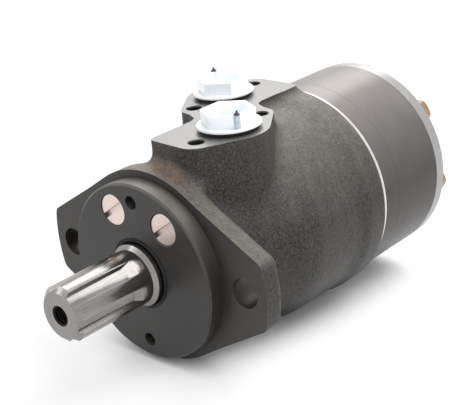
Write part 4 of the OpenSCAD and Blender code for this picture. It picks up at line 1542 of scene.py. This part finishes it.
    def dress(self, piece: bpy.types.Object, finishes: dict[str, bpy.types.Material]) -> None:
        """Gives the skin, the machined faces and the bores their own finishes.

        Args:
            piece: The machined casting.
            finishes: The materials by finish name.
        """
        piece.data.materials.clear()
        for name in ("cast", "port_face", "flange_face", "rim", "bore"):
            piece.data.materials.append(finishes[name])
        cast, port_face, flange_face, rim, bore = range(5)
        near = 0.02
        for face in piece.data.polygons:
            x, y, z = (c / MM for c in face.center)
            reach = math.hypot(x, z)
            if abs(z - self.port_face_z) < near and face.normal.z > 0.99:
                face.material_index = port_face
            elif abs(y) < near and face.normal.y < -0.99:
                face.material_index = flange_face
            elif y > self.length - self.rim_len - 0.05 and reach > self.body_d / 2 - 1:
                face.material_index = rim
            elif y > self.length - near or reach < self.bore_r + 0.1:
                face.material_index = bore
            elif self.in_hole((x, y, z), face.normal.y):
                face.material_index = bore
            else:
                face.material_index = cast

    def in_hole(self, spot: Place, lengthways: float) -> bool:
        """Tells whether a face lies in one of the drilled holes.

        Args:
            spot: Where the face's middle lies.
            lengthways: How far the face looks along the shaft's axis.

        Returns:
            True in a hole.
        """
        x, y, z = spot
        from_bolt = min(math.hypot(x - side * self.bolt_pitch / 2, z) for side in (1, -1))
        bolt_r = self.bolt_hole_d / 2 + self.bolt_cone + self.hole_slack
        if from_bolt < bolt_r and y < self.flange_t:
            return abs(lengthways) < 0.9
        port_r = self.port_bore_d / 2 + self.port_chamfer + self.hole_slack
        screw_r = self.screw_d / 2 + self.screw_chamfer + self.hole_slack
        if self.port_face_z - self.port_depth - 2 < z < self.port_face_z - 0.01:
            for side in (1, -1):
                holes = [(self.port_place(side), port_r)]
                holes += [(place, screw_r) for place in self.screw_places(side)]
                if any(math.hypot(x - px, y - py) < r for (px, py), r in holes):
                    return True
        turn = math.radians(self.drain_angle)
        along = x * math.cos(turn) + z * math.sin(turn)
        across = -x * math.sin(turn) + z * math.cos(turn)
        in_spot = math.hypot(across, y - self.drain_y) < self.drain_spot_r
        return along > self.drain_reach - 0.05 and in_spot

    def build(self, finishes: dict[str, bpy.types.Material]) -> None:
        """Pours, machines and dresses the housing.

        Args:
            finishes: The materials by finish name.
        """
        piece = self.pour()
        cut_away(piece, self.cutters())
        piece.data.name = "housing_casting"
        shade_by_angle(piece, self.crease)
        self.dress(piece, finishes)
        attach(piece, "casing")
        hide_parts("housing")
        log.info("piece %s: %d faces", piece.name, len(piece.data.polygons))


def convex_hull(cloud: Outline) -> Outline:
    """Draws the tightest convex outline around points.

    Args:
        cloud: The points.

    Returns:
        The corners, anticlockwise.
    """
    ordered = sorted(set(cloud))

    def chain(points: Sequence[tuple[float, float]]) -> Outline:
        """Keeps the points of one side of the outline.

        Args:
            points: All the points, in order.

        Returns:
            That side's corners but the last.
        """
        kept: Outline = []
        for p in points:
            while len(kept) > 1 and turn_of(kept[-2], kept[-1], p) <= 0:
                kept.pop()
            kept.append(p)
        return kept[:-1]

    return chain(ordered) + chain(ordered[::-1])


def turn_of(a: tuple[float, float], b: tuple[float, float], c: tuple[float, float]) -> float:
    """Gives twice the signed area of a corner; positive turns left."""
    return (b[0] - a[0]) * (c[1] - a[1]) - (b[1] - a[1]) * (c[0] - a[0])


def slab(name: str, low: Place, high: Place) -> bpy.types.Object:
    """Makes a block that only serves as a cutter.

    Args:
        name: The object's name.
        low: Its lowest corner.
        high: Its highest corner.

    Returns:
        The block.
    """
    xs, ys, zs = zip(low, high)
    corners = [(x, y, z) for x in xs for y in ys for z in zs]
    faces = [(0, 1, 3, 2), (4, 6, 7, 5), (0, 4, 5, 1), (2, 3, 7, 6), (0, 2, 6, 4), (1, 5, 7, 3)]
    made = mesh_object(name, np.array(corners, float), faces)
    face_outwards(made)
    return made


# The turned and bought parts


@dataclass(frozen=True)
class PartLook:
    """How one solid of the frame is finished.

    Attributes:
        node: The solid's name.
        finish: The finish's name in the set.
        edge: How far its edges are broken, or 0.
    """

    node: str
    finish: str
    edge: float = 0.25


@dataclass(frozen=True)
class SolidParts:
    """The parts that keep the frame's solids, with broken edges and their own finishes.

    Attributes:
        looks: The look of each solid but the rollers.
        roller_count: How many rollers there are.
        roller_edge: How far their edges are broken.
        weld: The distance below which points are joined, in metres.
        flat: The angle below which two faces count as one, in degrees.
        crease: The smallest angle of a sharp edge, in degrees.
        evenness: How much the wide faces keep their shading beside a broken edge.
    """

    looks: tuple[PartLook, ...] = (
        PartLook("front_cover", "cover", 0.3),
        PartLook("dust_seal", "rubber", 0.0),
        PartLook("shaft_seal", "rubber", 0.0),
        PartLook("cover_o_ring", "rubber", 0.0),
        PartLook("cover_screws", "black", 0.2),
        PartLook("check_plugs", "pale_zinc", 0.2),
        PartLook("check_ball_right", "bright", 0.0),
        PartLook("check_ball_left", "bright", 0.0),
        PartLook("thrust_race_front", "bright", 0.0),
        PartLook("thrust_race_rear", "bright", 0.0),
        PartLook("thrust_cage", "brass", 0.0),
        PartLook("thrust_needles", "bright", 0.0),
        PartLook("output_shaft", "shaft", 0.0),
        PartLook("cardan_shaft", "forged", 0.0),
        PartLook("cardan_spacer", "forged", 0.0),
        PartLook("housing_o_ring", "rubber", 0.0),
        PartLook("distributor_plate", "ring", 0.12),
        PartLook("plate_o_ring", "rubber", 0.0),
        PartLook("gerotor_ring", "ring", 0.12),
        PartLook("star_rotor", "bright", 0.0),
        PartLook("end_o_ring", "rubber", 0.0),
        PartLook("end_cover", "end_cover", 0.2),
        PartLook("end_bolts", "yellow_zinc", 0.25),
        PartLook("end_washers", "yellow_zinc", 0.2),
        PartLook("port_cap_front", "white", 0.4),
        PartLook("port_cap_rear", "white", 0.4),
        PartLook("cap_ring_front", "rubber", 0.0),
        PartLook("cap_ring_rear", "rubber", 0.0),
        PartLook("cap_pin_front", "pin", 0.0),
        PartLook("cap_pin_rear", "pin", 0.0),
        PartLook("drain_plug", "yellow_zinc", 0.3),
        PartLook("drain_washer", "copper", 0.15),
    )
    roller_count: int = 7
    roller_edge: float = 0.2
    weld: float = 2e-6
    flat: float = 0.3
    crease: float = 32.0
    evenness: int = 90

    def dress(self, look: PartLook, finishes: dict[str, bpy.types.Material]) -> None:
        """Finishes one solid.

        Args:
            look: What it gets.
            finishes: The materials by finish name.
        """
        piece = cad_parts[look.node]
        piece.data.materials.clear()
        piece.data.materials.append(finishes[look.finish])
        for face in piece.data.polygons:
            face.use_smooth = True
        join = piece.modifiers.new("join_points", "WELD")
        join.merge_threshold = self.weld
        clean = piece.modifiers.new("clean_flats", "DECIMATE")
        clean.decimate_type = "DISSOLVE"
        clean.angle_limit = math.radians(self.flat)
        if look.edge:
            broken = piece.modifiers.new("break_edges", "BEVEL")
            broken.width = look.edge * MM
            broken.segments = 2
            broken.limit_method = "ANGLE"
            broken.angle_limit = math.radians(self.crease)
            even = piece.modifiers.new("flat_faces_stay_flat", "WEIGHTED_NORMAL")
            even.mode = "FACE_AREA"
            even.weight = self.evenness
        else:
            crisp = piece.modifiers.new("keep_edges_crisp", "EDGE_SPLIT")
            crisp.split_angle = math.radians(self.crease)
        log.info("part %s: %s", look.node, look.finish)

    def build(self, finishes: dict[str, bpy.types.Material]) -> None:
        """Finishes every solid that stays.

        Args:
            finishes: The materials by finish name.
        """
        for look in self.looks:
            self.dress(look, finishes)
        for k in range(1, self.roller_count + 1):
            self.dress(PartLook(f"roller_{k}", "bright", self.roller_edge), finishes)


# Camera, stage and lamps


@dataclass(frozen=True)
class PhotoCamera:
    """The camera at the photograph's place.

    Attributes:
        azimuth: Its direction about the vertical, in degrees.
        elevation: How far it looks down, in degrees.
        roll: How far it is turned about its own line of sight, in degrees.
        place: Where it stands.
        focal_px: Its focal length in the photograph's pixels.
        sensor_mm: The width of its sensor.
    """

    azimuth: float = 43.826
    elevation: float = 21.844
    roll: float = -6.204
    place: Place = (334.6, -294.3, 203.8)
    focal_px: float = 1108.05
    sensor_mm: float = 36.0

    def build(self) -> None:
        """Places the camera and looks through it."""
        a, e, r = (math.radians(v) for v in (self.azimuth, self.elevation, self.roll))
        back = Vector((math.sin(a) * math.cos(e), -math.cos(a) * math.cos(e), math.sin(e)))
        right = Vector((math.cos(a), math.sin(a), 0.0))
        up = back.cross(right)
        right_r = right * math.cos(r) + up * math.sin(r)
        up_r = -right * math.sin(r) + up * math.cos(r)
        data = bpy.data.cameras.new("photo_camera")
        data.sensor_width = self.sensor_mm
        data.lens = self.focal_px * self.sensor_mm / IMAGE_WIDTH_PX
        data.clip_start = 0.01
        camera = bpy.data.objects.new("photo_camera", data)
        turn = Matrix((right_r, up_r, back)).transposed().to_4x4()
        camera.matrix_world = Matrix.Translation(Vector(self.place) * MM) @ turn
        bpy.context.scene.collection.objects.link(camera)
        bpy.context.scene.camera = camera


@dataclass(frozen=True)
class Studio:
    """The pale floor, the white surroundings and the soft lamps.

    Attributes:
        tilt: The slope of the floor on which the flange and the rear band rest, in degrees.
        room: How strongly the surroundings light dull surfaces.
        floor_size: The side of the floor, in metres.
        floor_rows: How many squares the floor has along a side.
        floor_glow: How white the floor is where nothing stands over it.
        painted_shadow_reach: How far the contact shadow painted into the floor's glow reaches.
        rear_y: Where the rear band rests on the floor, in metres.
        rear_gap: How far the floor stays below the band, in metres.
    """

    tilt: float = -4.6
    room: float = 0.4
    floor_size: float = 6.0
    floor_rows: int = 8
    floor_glow: float = 0.76
    painted_shadow_reach: float = 34.0
    rear_y: float = 0.0975
    rear_gap: float = 0.0002

    def build_floor(self) -> None:
        """Lays the floor so that the flange and the rear band touch it, with a contact shadow
        painted into its glow.
        """
        half = self.floor_size / 2 / MM
        wide = self.floor_rows + 1
        line = np.linspace(-half, half, wide)
        points = np.array([(x, y, 0.0) for y in line for x in line])
        starts = [j * wide + i for j in range(self.floor_rows) for i in range(self.floor_rows)]
        faces = [(k, k + 1, k + wide + 1, k + wide) for k in starts]
        floor = mesh_object("studio_floor", points, faces)
        rear = Vector((0.0, self.rear_y, CAD_BOX[0][2] - self.rear_gap))
        tilt = Matrix.Rotation(math.radians(self.tilt), 4, "X")
        floor.matrix_world = Matrix.Translation(rear) @ tilt
        bench = ShaderBench("floor_paper", (0.9, 0.9, 0.9))
        bench.coat("Base Color", (0.93, 0.93, 0.94))
        bench.coat("Roughness", 0.9)
        glow = bench.add("ShaderNodeEmission", {"Color": (1.0, 1.0, 1.0), "Strength": 1.0})
        # The glow thins where the motor hems the floor in: a painted contact shadow.
        painted_shadow_openness = bench.painted_shade_openness(self.painted_shadow_reach)
        white = bench.spread(painted_shadow_openness, 0.2, 0.75, 0.0, self.floor_glow)
        share = bench.math("MULTIPLY", bench.seen(), white)
        layers = {0: share, 1: bench.shader.outputs[0], 2: glow.outputs[0]}
        mixed = bench.add("ShaderNodeMixShader", layers)
        bench.feed(bench.find("OUTPUT_MATERIAL").inputs["Surface"], mixed.outputs[0])
        floor.data.materials.append(bench.material)

    def build_room(self) -> None:
        """Makes the surroundings white to the eye and soft as a light."""
        world = bpy.data.worlds.new("studio_room")
        bpy.context.scene.world = world
        world.use_nodes = True
        bench = NodeBench(world.node_tree)
        ground = bench.find("BACKGROUND")
        bench.feed(ground.inputs["Color"], (1.0, 1.0, 1.0))
        bench.feed(ground.inputs["Strength"], bench.spread(bench.seen(), 0.0, 1.0, self.room, 1.0))

    def lamp(
        self, name: str, place: Place, size: float, watts: float, mirrored: bool = True
    ) -> None:
        """Hangs a soft square lamp that looks at the motor.

        Args:
            name: The lamp's name.
            place: Where it hangs, in metres.
            size: The side of its soft box, in metres.
            watts: Its power.
            mirrored: Whether polished metal shows it.
        """
        data = bpy.data.lights.new(name, "AREA")
        data.shape = "SQUARE"
        data.size = size
        data.energy = watts
        lamp = bpy.data.objects.new(name, data)
        lamp.location = place
        lamp.visible_glossy = mirrored
        towards = Vector((0, 0.05, 0)) - Vector(place)
        lamp.rotation_euler = towards.to_track_quat("-Z", "Y").to_euler()
        bpy.context.scene.collection.objects.link(lamp)

    def sky_lamp(self, name: str, towards: Place, spread_deg: float, strength: float) -> None:
        """Hangs a wide soft light far away, so that the floor is lit evenly.

        Args:
            name: The lamp's name.
            towards: The direction in which it hangs.
            spread_deg: How wide it looks, in degrees.
            strength: Its irradiance.
        """
        data = bpy.data.lights.new(name, "SUN")
        data.energy = strength
        data.angle = math.radians(spread_deg)
        lamp = bpy.data.objects.new(name, data)
        lamp.rotation_euler = Vector(towards).to_track_quat("Z", "Y").to_euler()
        bpy.context.scene.collection.objects.link(lamp)

    def build(self) -> None:
        """Sets up the whole studio."""
        self.build_floor()
        self.build_room()
        self.sky_lamp("overhead_sky", (0.25, 0.15, 1.0), 50.0, 1.4)
        self.lamp("back_box", (0.3, 0.85, 0.95), 1.0, 14.0, mirrored=False)
        self.lamp("left_box", (-0.7, -0.9, 0.5), 0.7, 3.5)
        self.lamp("edge_box", (-0.48, 0.77, 0.75), 0.65, 4.0)
        self.lamp("right_box", (0.95, -0.25, 0.45), 0.6, 2.1)
        bpy.context.scene.view_settings.view_transform = "Standard"
        log.info("studio ready")


def main() -> None:
    """Builds the camera, the studio and every piece of the motor, in order."""
    logging.basicConfig(level=logging.INFO, format="%(name)s: %(message)s")
    PhotoCamera().build()
    Studio().build()
    finish_set = FinishSet()
    finishes = {name: getattr(finish_set, name).make() for name in FinishSet.__dataclass_fields__}
    HousingCasting().build(finishes)
    SolidParts().build(finishes)


if __name__ == "__main__":
    main()
